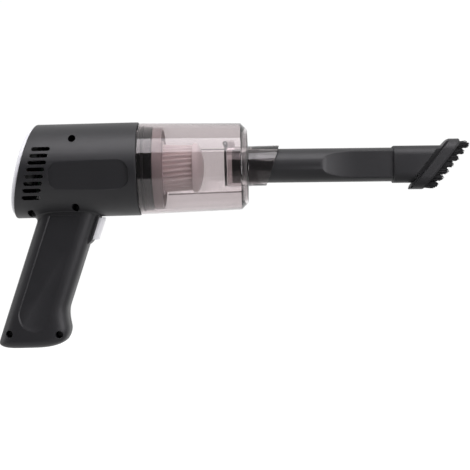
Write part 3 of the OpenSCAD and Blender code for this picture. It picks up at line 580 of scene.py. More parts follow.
def arc(middle, radius, start, end, steps):
    """Points on an arc in a profile, in degrees."""
    points = []
    for k in range(steps + 1):
        a = math.radians(start + (end - start) * k / steps)
        points.append((middle[0] + radius * math.cos(a), middle[1] + radius * math.sin(a)))
    return points


# Finishes

def socket(group, name, kind, side, value=None):
    """A named input or output of a surface group."""
    made = group.interface.new_socket(name=name, in_out=side, socket_type=kind)
    if value is not None:
        made.default_value = value


def grain_group():
    """Fine moulded grain over slow cloudy change of tone and gloss."""
    group = bpy.data.node_groups.new("moulded_grain", "ShaderNodeTree")
    socket(group, "Colour", "NodeSocketColor", "INPUT")
    socket(group, "Deep Colour", "NodeSocketColor", "INPUT")
    socket(group, "Grain Scale", "NodeSocketFloat", "INPUT", 2200.0)
    socket(group, "Cloud Scale", "NodeSocketFloat", "INPUT", 60.0)
    socket(group, "Gloss Side", "NodeSocketFloat", "INPUT", 0.4)
    socket(group, "Matte Side", "NodeSocketFloat", "INPUT", 0.5)
    socket(group, "Colour", "NodeSocketColor", "OUTPUT")
    socket(group, "Roughness", "NodeSocketFloat", "OUTPUT")
    socket(group, "Height", "NodeSocketFloat", "OUTPUT")
    put = group.nodes.new
    tie = group.links.new
    given = put("NodeGroupInput")
    result = put("NodeGroupOutput")
    place = put("ShaderNodeTexCoord")
    grain = put("ShaderNodeTexNoise")
    grain.inputs["Detail"].default_value = 3.0
    cloud = put("ShaderNodeTexNoise")
    cloud.inputs["Detail"].default_value = 4.0
    tone = put("ShaderNodeMix")
    tone.data_type = "RGBA"
    gloss = put("ShaderNodeMapRange")
    blend = put("ShaderNodeMath")
    blend.operation = "MULTIPLY_ADD"
    blend.inputs[1].default_value = 0.35
    tie(place.outputs["Object"], grain.inputs["Vector"])
    tie(place.outputs["Object"], cloud.inputs["Vector"])
    tie(given.outputs["Grain Scale"], grain.inputs["Scale"])
    tie(given.outputs["Cloud Scale"], cloud.inputs["Scale"])
    tie(grain.outputs["Fac"], blend.inputs[0])
    tie(cloud.outputs["Fac"], blend.inputs[2])
    tie(cloud.outputs["Fac"], tone.inputs["Factor"])
    tie(given.outputs["Colour"], tone.inputs["A"])
    tie(given.outputs["Deep Colour"], tone.inputs["B"])
    tie(blend.outputs["Value"], gloss.inputs["Value"])
    gloss.inputs["From Min"].default_value = 0.4
    gloss.inputs["From Max"].default_value = 0.95
    tie(given.outputs["Gloss Side"], gloss.inputs["To Min"])
    tie(given.outputs["Matte Side"], gloss.inputs["To Max"])
    tie(tone.outputs["Result"], result.inputs["Colour"])
    tie(gloss.outputs["Result"], result.inputs["Roughness"])
    tie(grain.outputs["Fac"], result.inputs["Height"])
    return group


def drawn_group():
    """Fine lines drawn along one way of a metal, with stains over them."""
    group = bpy.data.node_groups.new("drawn_metal", "ShaderNodeTree")
    socket(group, "Colour", "NodeSocketColor", "INPUT")
    socket(group, "Stain", "NodeSocketColor", "INPUT")
    socket(group, "Stretch", "NodeSocketVector", "INPUT", (60.0, 2400.0, 2400.0))
    socket(group, "Gloss Side", "NodeSocketFloat", "INPUT", 0.2)
    socket(group, "Matte Side", "NodeSocketFloat", "INPUT", 0.4)
    socket(group, "Colour", "NodeSocketColor", "OUTPUT")
    socket(group, "Roughness", "NodeSocketFloat", "OUTPUT")
    socket(group, "Height", "NodeSocketFloat", "OUTPUT")
    put = group.nodes.new
    tie = group.links.new
    given = put("NodeGroupInput")
    result = put("NodeGroupOutput")
    place = put("ShaderNodeTexCoord")
    stretch = put("ShaderNodeVectorMath")
    stretch.operation = "MULTIPLY"
    lines = put("ShaderNodeTexNoise")
    lines.inputs["Scale"].default_value = 1.0
    lines.inputs["Detail"].default_value = 3.0
    stain = put("ShaderNodeTexNoise")
    stain.inputs["Scale"].default_value = 180.0
    stain.inputs["Detail"].default_value = 4.0
    dull = put("ShaderNodeMapRange")
    dull.inputs["From Min"].default_value = 0.5
    dull.inputs["From Max"].default_value = 0.8
    tone = put("ShaderNodeMix")
    tone.data_type = "RGBA"
    gloss = put("ShaderNodeMapRange")
    gloss.inputs["From Min"].default_value = 0.3
    gloss.inputs["From Max"].default_value = 0.7
    tie(place.outputs["Object"], stretch.inputs[0])
    tie(given.outputs["Stretch"], stretch.inputs[1])
    tie(stretch.outputs["Vector"], lines.inputs["Vector"])
    tie(place.outputs["Object"], stain.inputs["Vector"])
    tie(stain.outputs["Fac"], dull.inputs["Value"])
    tie(dull.outputs["Result"], tone.inputs["Factor"])
    tie(given.outputs["Colour"], tone.inputs["A"])
    tie(given.outputs["Stain"], tone.inputs["B"])
    tie(lines.outputs["Fac"], gloss.inputs["Value"])
    tie(given.outputs["Gloss Side"], gloss.inputs["To Min"])
    tie(given.outputs["Matte Side"], gloss.inputs["To Max"])
    tie(tone.outputs["Result"], result.inputs["Colour"])
    tie(gloss.outputs["Result"], result.inputs["Roughness"])
    tie(lines.outputs["Fac"], result.inputs["Height"])
    return group


def skin_group():
    """Puts the cup wall's tint in its outer skin, so that its edges read as dark as its middle."""
    group = bpy.data.node_groups.new("outer_skin_tint", "ShaderNodeTree")
    socket(group, "Colour", "NodeSocketColor", "INPUT")
    socket(group, "Colour", "NodeSocketColor", "OUTPUT")
    put = group.nodes.new
    tie = group.links.new
    given = put("NodeGroupInput")
    result = put("NodeGroupOutput")
    place = put("ShaderNodeTexCoord")
    from_rim = put("ShaderNodeVectorMath")
    from_rim.operation = "SUBTRACT"
    from_rim.inputs[1].default_value = GRIP * MM
    along = put("ShaderNodeSeparateXYZ")
    across = put("ShaderNodeVectorMath")
    across.operation = "MULTIPLY"
    across.inputs[1].default_value = (0.0, 1.0, 1.0)
    radius = put("ShaderNodeVectorMath")
    radius.operation = "LENGTH"
    middle = put("ShaderNodeMapRange")
    middle.inputs["From Min"].default_value = CUP_REAR[0] * MM
    middle.inputs["From Max"].default_value = CUP_EDGE[0] * MM
    middle.inputs["To Min"].default_value = (CUP_REAR[1] - CUP_WALL / 2) * MM
    middle.inputs["To Max"].default_value = (CUP_EDGE[1] - CUP_WALL / 2) * MM
    outer = put("ShaderNodeMath")
    outer.operation = "GREATER_THAN"
    wide = put("ShaderNodeMath")
    wide.operation = "GREATER_THAN"
    wide.inputs[1].default_value = SKIN_R * MM
    behind = put("ShaderNodeMath")
    behind.operation = "LESS_THAN"
    behind.inputs[1].default_value = (CUP_EDGE[0] - SKIN_END) * MM
    wall = put("ShaderNodeMath")
    wall.operation = "MULTIPLY"
    double = put("ShaderNodeMix")
    double.data_type = "RGBA"
    double.blend_type = "MULTIPLY"
    double.inputs["Factor"].default_value = 1.0
    skin = put("ShaderNodeMix")
    skin.data_type = "RGBA"
    skin.inputs["A"].default_value = (1, 1, 1, 1)
    tint = put("ShaderNodeMix")
    tint.data_type = "RGBA"
    tie(place.outputs["Object"], from_rim.inputs[0])
    tie(from_rim.outputs["Vector"], along.inputs["Vector"])
    tie(from_rim.outputs["Vector"], across.inputs[0])
    tie(across.outputs["Vector"], radius.inputs[0])
    tie(along.outputs["X"], middle.inputs["Value"])
    tie(radius.outputs["Value"], outer.inputs[0])
    tie(middle.outputs["Result"], outer.inputs[1])
    tie(radius.outputs["Value"], wide.inputs[0])
    tie(along.outputs["X"], behind.inputs[0])
    tie(wide.outputs["Value"], wall.inputs[0])
    tie(behind.outputs["Value"], wall.inputs[1])
    tie(given.outputs["Colour"], double.inputs["A"])
    tie(given.outputs["Colour"], double.inputs["B"])
    tie(outer.outputs["Value"], skin.inputs["Factor"])
    tie(double.outputs["Result"], skin.inputs["B"])
    tie(wall.outputs["Value"], tint.inputs["Factor"])
    tie(given.outputs["Colour"], tint.inputs["A"])
    tie(skin.outputs["Result"], tint.inputs["B"])
    tie(tint.outputs["Result"], result.inputs["Colour"])
    return group


GRAIN = grain_group()
DRAWN = drawn_group()
SKIN = skin_group()


def rgba(colour):
    """A colour with full cover, as sockets want it."""
    return (colour[0], colour[1], colour[2], 1.0)


def blank_finish(name):
    """A new material with its shader, ready for its nodes."""
    finish = bpy.data.materials.new(name)
    finish.use_nodes = True
    shader = finish.node_tree.nodes["Principled BSDF"]
    return finish, finish.node_tree, shader


def dress(tree, shader, maker, strength, depth):
    """Tie a surface group to the shader's colour, gloss and bump."""
    bump = tree.nodes.new("ShaderNodeBump")
    bump.inputs["Strength"].default_value = strength
    bump.inputs["Distance"].default_value = depth * MM
    tree.links.new(maker.outputs["Colour"], shader.inputs["Base Color"])
    tree.links.new(maker.outputs["Roughness"], shader.inputs["Roughness"])
    tree.links.new(maker.outputs["Height"], bump.inputs["Height"])
    tree.links.new(bump.outputs["Normal"], shader.inputs["Normal"])
    return bump


def plastic(
    name, colour, deep, gloss,
    grain=2200.0, cloud=60.0, strength=0.25, depth=0.06, eased=0.0, coat=0.0, shine=0.5,
):
    """Moulded plastic. eased is the radius of its softened edges, shine how much it reflects."""
    finish, tree, shader = blank_finish(name)
    maker = tree.nodes.new("ShaderNodeGroup")
    maker.node_tree = GRAIN
    maker.inputs["Colour"].default_value = rgba(colour)
    maker.inputs["Deep Colour"].default_value = rgba(deep)
    maker.inputs["Grain Scale"].default_value = grain
    maker.inputs["Cloud Scale"].default_value = cloud
    maker.inputs["Gloss Side"].default_value = gloss[0]
    maker.inputs["Matte Side"].default_value = gloss[1]
    bump = dress(tree, shader, maker, strength, depth)
    if eased:
        edge = tree.nodes.new("ShaderNodeBevel")
        edge.samples = 6
        edge.inputs["Radius"].default_value = eased * MM
        tree.links.new(edge.outputs["Normal"], bump.inputs["Normal"])
    shader.inputs["Specular IOR Level"].default_value = shine
    shader.inputs["Coat Weight"].default_value = coat
    shader.inputs["Coat Roughness"].default_value = 0.08
    return finish


def metal(name, colour, stain, gloss, stretch=(60.0, 2400.0, 2400.0), strength=0.15):
    """Drawn or rolled metal, its lines long along the axis of the smallest stretch."""
    finish, tree, shader = blank_finish(name)
    maker = tree.nodes.new("ShaderNodeGroup")
    maker.node_tree = DRAWN
    maker.inputs["Colour"].default_value = rgba(colour)
    maker.inputs["Stain"].default_value = rgba(stain)
    maker.inputs["Stretch"].default_value = stretch
    maker.inputs["Gloss Side"].default_value = gloss[0]
    maker.inputs["Matte Side"].default_value = gloss[1]
    dress(tree, shader, maker, strength, 0.03)
    shader.inputs["Metallic"].default_value = 1.0
    return finish


def smoky(name, tint, deep, skin=False):
    """Clear smoke-tinted plastic, a touch uneven from its mould. With skin, the tint is on its outside."""
    finish, tree, shader = blank_finish(name)
    maker = tree.nodes.new("ShaderNodeGroup")
    maker.node_tree = GRAIN
    maker.inputs["Colour"].default_value = rgba(tint)
    maker.inputs["Deep Colour"].default_value = rgba(deep)
    maker.inputs["Grain Scale"].default_value = 300.0
    maker.inputs["Cloud Scale"].default_value = 35.0
    maker.inputs["Gloss Side"].default_value = 0.01
    maker.inputs["Matte Side"].default_value = 0.05
    dress(tree, shader, maker, 0.002, 0.02)
    if skin:
        outside = tree.nodes.new("ShaderNodeGroup")
        outside.node_tree = SKIN
        tree.links.new(maker.outputs["Colour"], outside.inputs["Colour"])
        tree.links.new(outside.outputs["Colour"], shader.inputs["Base Color"])
    shader.inputs["Transmission Weight"].default_value = 1.0
    shader.inputs["IOR"].default_value = 1.49
    return finish


CHARCOAL = ((0.0080, 0.0078, 0.0095), (0.0065, 0.0063, 0.0078))
NOZZLE_CHARCOAL = ((0.0105, 0.0103, 0.0118), (0.0088, 0.0086, 0.0098))

# Outer finishes
charcoal = plastic("charcoal_shell", *CHARCOAL, (0.42, 0.52), eased=0.35, shine=0.43)
nozzle_black = plastic(
    "nozzle_charcoal", *NOZZLE_CHARCOAL, (0.42, 0.52), grain=1900.0, eased=1.4, shine=0.44
)
brush_black = plastic(
    "brush_charcoal", *NOZZLE_CHARCOAL, (0.45, 0.55), grain=1900.0, eased=0.4, shine=0.42
)
silver_white = plastic(
    "rear_cover_pale", (0.66, 0.66, 0.69), (0.61, 0.61, 0.64), (0.22, 0.32), strength=0.08, coat=0.3
)
trigger_grey = plastic(
    "trigger_pale_grey", (0.71, 0.71, 0.725), (0.66, 0.66, 0.68), (0.30, 0.40), strength=0.12
)
gloss_black = plastic(
    "collar_gloss_black", (0.005, 0.005, 0.006), (0.004, 0.004, 0.005), (0.08, 0.14), strength=0.04
)
seal_rubber = plastic(
    "seal_rubber", (0.030, 0.030, 0.031), (0.02, 0.02, 0.021), (0.55, 0.70), grain=3200.0
)
smoke = smoky("cup_smoke", (0.70, 0.655, 0.66), (0.68, 0.635, 0.64), skin=True)
# The ribs' tint is far darker than the cup's own smoke: painted shade for the dark lines at their edges
rib_shade_smoke = smoky("cup_rib_painted_shade", (0.30, 0.26, 0.26), (0.28, 0.24, 0.24))
flap_rubber = plastic(
    "flap_rubber", (0.022, 0.019, 0.020), (0.016, 0.014, 0.015), (0.45, 0.6), grain=2600.0
)
filter_shell = plastic(
    "filter_frame_rose", (0.50, 0.42, 0.42), (0.46, 0.38, 0.38), (0.30, 0.40), strength=0.1
)
cap_pale = plastic(
    "filter_cap_pale", (0.90, 0.80, 0.79), (0.84, 0.75, 0.74), (0.34, 0.44), strength=0.1
)
paper = plastic(
    "filter_paper", (0.95, 0.85, 0.84), (0.90, 0.79, 0.78), (0.75, 0.90),
    grain=1500.0, cloud=220.0, strength=0.5,
)
bristle_black = plastic(
    "bristle_nylon", (0.010, 0.010, 0.011), (0.014, 0.014, 0.015), (0.50, 0.62), cloud=900.0, shine=0.25
)
# Near-black finish for the cover's posts and the sheet over its back: painted shade that keeps the vents
# black
cover_shade = plastic(
    "cover_painted_shade", (0.006, 0.006, 0.0065), (0.005, 0.005, 0.005), (0.6, 0.75), shine=0.2
)

# Finishes of the works inside
steel = metal("zinc_steel", (0.56, 0.57, 0.58), (0.40, 0.40, 0.41), (0.22, 0.40))
dark_steel = metal("screw_steel", (0.10, 0.10, 0.105), (0.06, 0.06, 0.06), (0.30, 0.48))
copper = metal("copper_parts", (0.72, 0.36, 0.20), (0.48, 0.22, 0.12), (0.22, 0.42))
bronze = metal("bush_bronze", (0.60, 0.42, 0.20), (0.42, 0.28, 0.13), (0.30, 0.50))
nickel = metal(
    "contact_nickel", (0.66, 0.63, 0.58), (0.50, 0.47, 0.42), (0.18, 0.36), (2400.0, 60.0, 2400.0)
)
magnet_grey = plastic(
    "magnet_ferrite", (0.055, 0.055, 0.06), (0.04, 0.04, 0.043), (0.6, 0.8), grain=2600.0
)
inner_black = plastic("inner_moulding", (0.03, 0.03, 0.032), (0.024, 0.024, 0.025), (0.4, 0.55))
fan_grey = plastic("fan_nylon", (0.30, 0.30, 0.31), (0.25, 0.25, 0.26), (0.4, 0.5))
cell_wrap = plastic(
    "cell_wrap_green", (0.06, 0.22, 0.16), (0.04, 0.17, 0.12), (0.25, 0.36), strength=0.1
)
board_green = plastic(
    "board_dark_green", (0.006, 0.022, 0.012), (0.01, 0.04, 0.02), (0.3, 0.45), cloud=420.0
)
lamp_clear = plastic(
    "lamp_lens_red", (0.06, 0.005, 0.005), (0.05, 0.004, 0.004), (0.10, 0.18), strength=0.04
)
plunger_red = plastic("plunger_red", (0.40, 0.06, 0.045), (0.34, 0.05, 0.04), (0.35, 0.45))
lead_black = plastic("lead_sleeve_black", (0.02, 0.02, 0.021), (0.015, 0.015, 0.016), (0.35, 0.5))
CARRIED_OVER = {
    "flap_pin": steel,
    "filter_gasket": seal_rubber,
    "trigger_spring": steel,
    "power_switch": inner_black,
    "switch_plunger": plunger_red,
    # Painted shade: the motor can takes the dark screw steel so that the works read black through the vents
    "motor_can": dark_steel,
    "motor_magnets": magnet_grey,
    "motor_end_bell": inner_black,
    "motor_bushes": bronze,
    "motor_damper": seal_rubber,
    "motor_bracket": inner_black,
    "motor_screws": dark_steel,
    "fan_shroud": inner_black,
    "motor_shaft": steel,
    "armature": copper,
    "commutator": copper,
    "impeller": fan_grey,
    "impeller_nut": steel,
    "battery_cells": cell_wrap,
    "battery_tray": inner_black,
    "cell_contacts": nickel,
    "control_board": board_green,
    "board_screws": dark_steel,
    "charge_socket": gloss_black,
    "charge_lamp": lamp_clear,
    # Painted shade: the leads take the black sleeve so that the battery's and the motor's leads read black
    # through the vents
    "battery_leads": lead_black,
    "switch_leads": lead_black,
    "motor_leads": lead_black,
}
for name, finish in CARRIED_OVER.items():
    for place in nodes[name].material_slots:
        place.material = finish


# Housing

def rear_at(z):
    """Where the slanted rear face lies at a height."""
    return -BODY_LEN + z * math.tan(REAR_SLANT)


def handle_rear(z):
    """Where the handle's rear skin lies at a height."""
    return HEEL[0] + (z - HEEL[1]) * HANDLE_LEAN


def toe(z):
    """How far the toe flares out: it swells, then turns over softly."""
    share = max(0.0, (-z - TOE_START) / TOE_SPAN)
    if share < TOE_TURN:
        return TOE_FLARE * share ** TOE_POWER
    past = share - TOE_TURN
    return TOE_FLARE * (TOE_CREST + TOE_RISE * past - TOE_FALL * past * past)


def handle_front(z):
    """Where the handle's front skin lies at a height."""
    return handle_rear(z) + HANDLE_DEPTH + toe(z)


def signed_power(value, power):
    """A power that keeps its value's sign."""
    return math.copysign(abs(value) ** power, value)


def squarish(index):
    """A point on the handle's squarish section, for half widths of 1."""
    a = FULL_TURN * (index + 0.5) / RING_SIDES
    across = signed_power(math.cos(a), 2 / HANDLE_POWER)
    beside = signed_power(math.sin(a), 2 / HANDLE_POWER)
    return across, beside


def handle_ring(z, keep, inset):
    """A level ring of the handle, set in from its skin by a share of the wall."""
    rear = handle_rear(z) + REAR_WALL * inset / WALL
    front = handle_front(z) - FRONT_WALL * inset / WALL
    middle = (rear + front) / 2
    half = keep * (front - rear) / 2
    side = keep * (HANDLE_W / 2 - inset)
    ring = []
    for i in range(RING_SIDES):
        across, beside = squarish(i)
        ring.append((middle + half * across, side * beside, z))
    return ring


def root_ring(degrees, sunk=0.0):
    """A ring of the fillet at the handle's root: broad at the rear and front, slight at the sides."""
    side = HANDLE_W / 2
    half = HANDLE_DEPTH / 2
    swing = math.radians(degrees)
    ring = []
    for i in range(RING_SIDES):
        across, beside = squarish(i)
        push = Vector((
            signed_power(across, HANDLE_POWER - 1) / half,
            signed_power(beside, HANDLE_POWER - 1) / side,
        )).normalized()
        broad = ROOT_REAR if push.x < 0 else ROOT_FRONT
        fillet = ROOT_SIDE + (broad - ROOT_SIDE) * push.x ** 2
        out = fillet * (1 - math.cos(swing))
        below = fillet * (1 - math.sin(swing)) - sunk
        y = side * beside + push.y * out
        z = -math.sqrt(BODY_R ** 2 - y * y) - below
        ring.append((handle_rear(z) + half + half * across + push.x * out, y, z))
    return ring


def base_rings(inset):
    """The toe and the crowned base of the handle."""
    rings = []
    for k in range(1, TOE_RINGS + 1):
        down = (HANDLE_DROP - inset - TOE_START) * k / TOE_RINGS
        rings.append(handle_ring(-TOE_START - down, 1, inset))
    for k in range(1, BASE_RINGS + 1):
        a = math.radians(BASE_STEP * k)
        z = -HANDLE_DROP + inset - BASE_CROWN * math.sin(a)
        rings.append(handle_ring(z, math.cos(a) ** 0.5, inset))
    return rings


def handle_solid():
    """The handle's full form, with the fillet's top ring let into the body."""
    rings = [root_ring(90, sunk=ROOT_SUNK)]
    rings += [root_ring(degrees) for degrees in ROOT_DEGREES]
    rings += [handle_ring(z, 1, 0) for z in HANDLE_LEVELS]
    return lofted(rings + base_rings(0))


def handle_hollow():
    """The room inside the handle, open into the body."""
    rings = [handle_ring(z, 1, WALL) for z in HOLLOW_LEVELS]
    return lofted(rings + base_rings(WALL))


def body_solid():
    """The motor housing's round form, sawn off on its slant, with its rims eased."""
    front = arc((-FRONT_EASE, BODY_R - FRONT_EASE), FRONT_EASE, 90, 0, 4)
    profile = [(-BODY_BLANK, 0), (-BODY_BLANK, BODY_R)] + front + [(0, 0)]
    piece = turned(profile, closed=False, steps=256)
    out_way = (REAR.to_3x3() @ Vector((-1, 0, 0))).normalized()
    spot = REAR.translation * MM
    open_bench(piece)
    saw_off(spot, out_way)
    pick(piece, "EDGE", lambda edge: lies_on(edge, spot, out_way))
    bpy.ops.mesh.bevel(offset=REAR_EASE * MM, segments=4, affect="EDGES", clamp_overlap=False)
    clean_up()
    close_bench()
    return piece


def housing_shell():
    """Both halves as one shell, with the bosses left standing round the screw pockets."""
    past_rear, past_front, past_side = -125, 2, 44
    shell = carve(body_solid(), handle_solid(), "UNION")
    carve(shell, trigger_rim(), "UNION")
    hollow = carve(rod(past_rear, past_front, BORE_R, 160), handle_hollow(), "UNION")
    for x, z in SCREW_SPOTS:
        boss = rod(-past_side, past_side, BOSS_R, 40)
        placed(boss, lined_up((x, 0, z), (0, 0, 1), (1, 0, 0)))
        placed(boss, turn_about((x, 0, z), math.radians(90), "X"))
        carve(hollow, boss)
    carve(shell, hollow)
    carve(shell, placed(rod(-1, COVER_REBATE, COVER_R + COVER_PLAY, 160), REAR))
    return shell


def thumb_tool(side):
    """Sinks the thumb flat, a little deeper towards the front, with sloping walls."""
    tool = plate(THUMB_LEN, THUMB_H, THUMB_CORNER, THUMB_BRIM, segments=14)
    brim = THUMB_BRIM * MM
    open_bench(tool)
    pick(tool, "FACE", lambda face: abs(face.calc_center_median().z - brim) < MERGE)
    bpy.ops.transform.resize(value=THUMB_FLARE, center_override=(0, 0, brim))
    close_bench()
    way = Vector((0, side * math.cos(THUMB_TURN), -math.sin(THUMB_TURN)))
    spot = Vector((THUMB_MID, 0, 0)) + way * (BODY_R - THUMB_SUNK)
    deeper = Matrix.Rotation(THUMB_TILT, 4, "Y")
    return placed(tool, lined_up(spot, (1, 0, 0), way) @ deeper)


def grip_tool(side):
    """Sinks the grip panel: steep at its rear edge and foot, running out towards the front."""
    tilt = math.atan(HANDLE_LEAN)
    half = PANEL_HALF * math.cos(tilt)

    def outline(spread):
        points = []
        for k in range(PANEL_STEPS + 1):
            a = math.radians(-180 * k / PANEL_STEPS)
            out = half + spread * (1 + PANEL_RUN_OUT * max(0.0, math.cos(a)))
            points.append((out * math.cos(a), out * math.sin(a)))
        for across in (-half - spread, half + (1 + PANEL_RUN_OUT) * spread):
            along = (PANEL_TOP - PANEL_LOW + across * math.sin(tilt)) / math.cos(tilt)
            points.append((across, along))
        return points

    floor = []
    for across, along in outline(0.0):
        sunk = PANEL_FRONT_DEEP + PANEL_DEEPENS * (half - across) / (2 * half)
        floor.append((along, side * across, -sunk))
    brim = [(along, side * across, PANEL_BRIM) for across, along in outline(PANEL_SLOPE)]
    foot = Vector((handle_rear(PANEL_LOW) + PANEL_MID, side * HANDLE_W / 2, PANEL_LOW))
    up_handle = (math.sin(tilt), 0, math.cos(tilt))
    return placed(lofted([floor, brim]), lined_up(foot, up_handle, (0, side, 0)))


def trigger_rim():
    """The raised rim of the housing round the trigger, sloped off under it."""
    low = TRIGGER_Z - TRIGGER_H / 2
    foot = low - RIM_SLOPE
    step = low - RIM_UNDER
    top = -BODY_R + RIM_SUNK
    rim = sawn([
        (handle_front(top) - WALL, top), (handle_front(foot) - WALL, foot),
        (handle_front(foot), foot), (handle_front(step) + RIM_OUT, step),
        (handle_front(top) + RIM_OUT, top),
    ], TRIGGER_W + 2 * RIM_WALL)
    placed(rim, lined_up((0, 0, 0), (1, 0, 0), (0, -1, 0)))
    return soften(rim, RIM_EASE, 4, 20)


def trigger_slot():
    """The slot that the trigger slides in."""
    wide = TRIGGER_W + 2 * TRIGGER_PLAY
    high = TRIGGER_H + 2 * TRIGGER_PLAY
    slot = plate(TRIGGER_SLOT, wide, SLOT_CORNER, high, segments=3)
    spot = (handle_front(TRIGGER_Z), 0, TRIGGER_Z - TRIGGER_H / 2 - TRIGGER_PLAY)
    return placed(slot, Matrix.Translation(spot))


def vent_tool(index):
    """One vent slot with round ends, right through both halves."""
    past_side = 40
    z = VENT_TOP - index * VENT_PITCH
    tool = plate(VENT_LEN, VENT_H, VENT_CORNER, 2 * past_side, segments=10)
    spot = (rear_at(z) + VENT_INSET + VENT_LEN / 2, -past_side, z)
    return placed(tool, lined_up(spot, (1, 0, 0), (0, 1, 0)))


def pocket_tool(x, z):
    """A screw pocket, bored from the right side down to the screw's seat."""
    past_side = 60
    tool = rod(SCREW_SEAT, past_side, POCKET_R, 40)
    return placed(tool, lined_up((x, 0, z), (0, -1, 0), (0, 0, 1)))


def half_room(side):
    """Room for one half of the housing, short of the seam."""
    span, deep, middle = 300, 60, -60
    tool = plate(span, span, 1, deep, segments=2)
    return placed(tool, lined_up((middle, side * SEAM, middle), (1, 0, 0), (0, side, 0)))


def make_housing():
    """The two halves, with the vents, the flats, the trigger's slot and the screw pockets cut into them."""
    shell = housing_shell()
    for index in range(VENT_COUNT):
        carve(shell, vent_tool(index))
    for side in (-1, 1):
        carve(shell, thumb_tool(side))
        carve(shell, grip_tool(side))
    carve(shell, trigger_slot())
    for x, z in SCREW_SPOTS:
        carve(shell, pocket_tool(x, z))
    right = twin(shell)
    carve(right, half_room(-1), "INTERSECT")
    carve(shell, half_room(1), "INTERSECT")
    hand_over(right, "shell_half_right", "housing", charcoal, ["housing_right"], angle=32)
    hand_over(shell, "shell_half_left", "housing", charcoal, ["housing_left"], angle=32)


COVER_INSIDE = COVER_WALL - COVER_PROUD
COVER_HOLES = (SOCKET_HOLE, LAMP_HOLE)


def make_cover_posts():
    """The cover's four posts and a thin sheet over its back, both near black as painted shade, which keeps
    the vents black.
    """
    parts = []
    for y, z in POST_SPOTS:
        post = turned([
            (POST_FOOT, POST_BORE), (POST_FOOT, POST_R), (POST_END - POST_EASE, POST_R),
            (POST_END, POST_R - POST_EASE), (POST_END, POST_BORE),
        ], steps=32)
        parts.append(placed(post, REAR @ Matrix.Translation((0, y, z))))
    back_r = COVER_R - COVER_WALL - COVER_PLAY
    back = rod(COVER_INSIDE + BACK_START, COVER_INSIDE + BACK_END, back_r, FINE)
    through = 6
    for z, radius in COVER_HOLES:
        hole = rod(-through, through, radius + BACK_HOLE_PLAY, 48)
        carve(back, placed(hole, Matrix.Translation((0, 0, z))))
    parts.append(placed(back, REAR))
    hand_over(welded(parts), "cover_posts", "housing", cover_shade, ["rear_cover"])


def make_rear_cover():
    """The pale cover, a shallow dish with eased holes for the charging socket and the lamp."""
    rim = arc((-COVER_PROUD + COVER_SOFT, COVER_R - COVER_SOFT), COVER_SOFT, 180, 90, 8)
    profile = [(-COVER_PROUD, 0)] + rim + [(COVER_REBATE, COVER_R), (COVER_REBATE, COVER_R - COVER_WALL)]
    profile += [(COVER_INSIDE, COVER_R - COVER_WALL), (COVER_INSIDE, 0)]
    cover = turned(profile, closed=False)
    outside = -COVER_PROUD - 1
    through = 20
    for z, radius in COVER_HOLES:
        wide = radius + HOLE_LEAD_IN
        mouth = [(outside, 0), (outside, wide + 1), (-COVER_PROUD, wide)]
        mouth += [(-COVER_PROUD + HOLE_LEAD_IN, radius), (through, radius), (through, 0)]
        carve(cover, placed(turned(mouth, closed=False, steps=48), Matrix.Translation((0, 0, z))))
    placed(cover, REAR)
    hand_over(cover, "cover_pale", "housing", silver_white, ["rear_cover"])


def make_screws():
    """Five cross-head screws, modelled once and set in their pockets."""
    top = -SCREW_SEAT - HEAD_H
    head = arc((top + HEAD_ROUND, HEAD_R - HEAD_ROUND), HEAD_ROUND, 180, 90, 5)
    thread = [(-SCREW_SEAT, HEAD_R), (-SCREW_SEAT, THREAD_R)]
    for k in range(THREAD_TURNS):
        at = -SCREW_SEAT + THREAD_START + k
        thread += [(at, THREAD_ROOT), (at + THREAD_RISE, THREAD_R)]
    thread += [(SCREW_TIP - POINT_LEN, POINT_R), (SCREW_TIP, 0)]
    screw = turned([(top, 0)] + head + thread, closed=False, steps=32)
    slot_foot = lined_up((top + CROSS_DEEP, 0, 0), (0, 1, 0), (-1, 0, 0))
    for degrees in (0, 90):
        slot = placed(plate(CROSS_LEN, CROSS_W, 0.2, CROSS_DEEP + 0.5, segments=2), slot_foot)
        carve(screw, placed(slot, Matrix.Rotation(math.radians(degrees), 4, "X")))
    set_in = []
    for x, z in SCREW_SPOTS:
        copy = twin(screw)
        placed(copy, lined_up((x, 0, z), (0, 1, 0), (0, 0, 1)))
        set_in.append(copy)
    bpy.data.objects.remove(screw, do_unlink=True)
    hand_over(welded(set_in), "shell_screws", "housing", dark_steel, ["housing_screws"])


def make_trigger():
    """The trigger: a block that follows the handle's front, with broad rounds down its face."""
    low = TRIGGER_Z - TRIGGER_H / 2
    high = TRIGGER_Z + TRIGGER_H / 2
    front_low = handle_front(low) + TRIGGER_OUT
    front_high = handle_front(high) + TRIGGER_OUT
    block = sawn([
        (TRIGGER_BACK, low), (front_low, low), (front_high, high), (TRIGGER_BACK, high),
    ], TRIGGER_W)
    placed(block, lined_up((0, 0, 0), (1, 0, 0), (0, -1, 0)))
    open_bench(block)

    def on_face(edge):
        return all(vert.co.x > (TRIGGER_BACK + 5) * MM for vert in edge.verts)

    def upright(edge):
        return abs(edge.verts[0].co.z - edge.verts[1].co.z) > MM

    pick(block, "EDGE", lambda edge: on_face(edge) and upright(edge))
    bpy.ops.mesh.bevel(offset=FACE_ROUND * MM, segments=8, affect="EDGES")
    close_bench()
    soften(block, FACE_EASE, 4, 50)
    seat_mouth = TRIGGER_BACK - 1
    seat_floor = TRIGGER_BACK + SEAT_DEEP
    seat = turned([
        (seat_mouth, SEAT_INNER), (seat_mouth, SEAT_OUTER),
        (seat_floor, SEAT_OUTER), (seat_floor, SEAT_INNER),
    ], steps=48)
    carve(block, placed(seat, Matrix.Translation((0, 0, SPRING_Z))))
    hand_over(block, "trigger_pale", "trigger", trigger_grey, ["trigger"])


# Cup, collar and filter

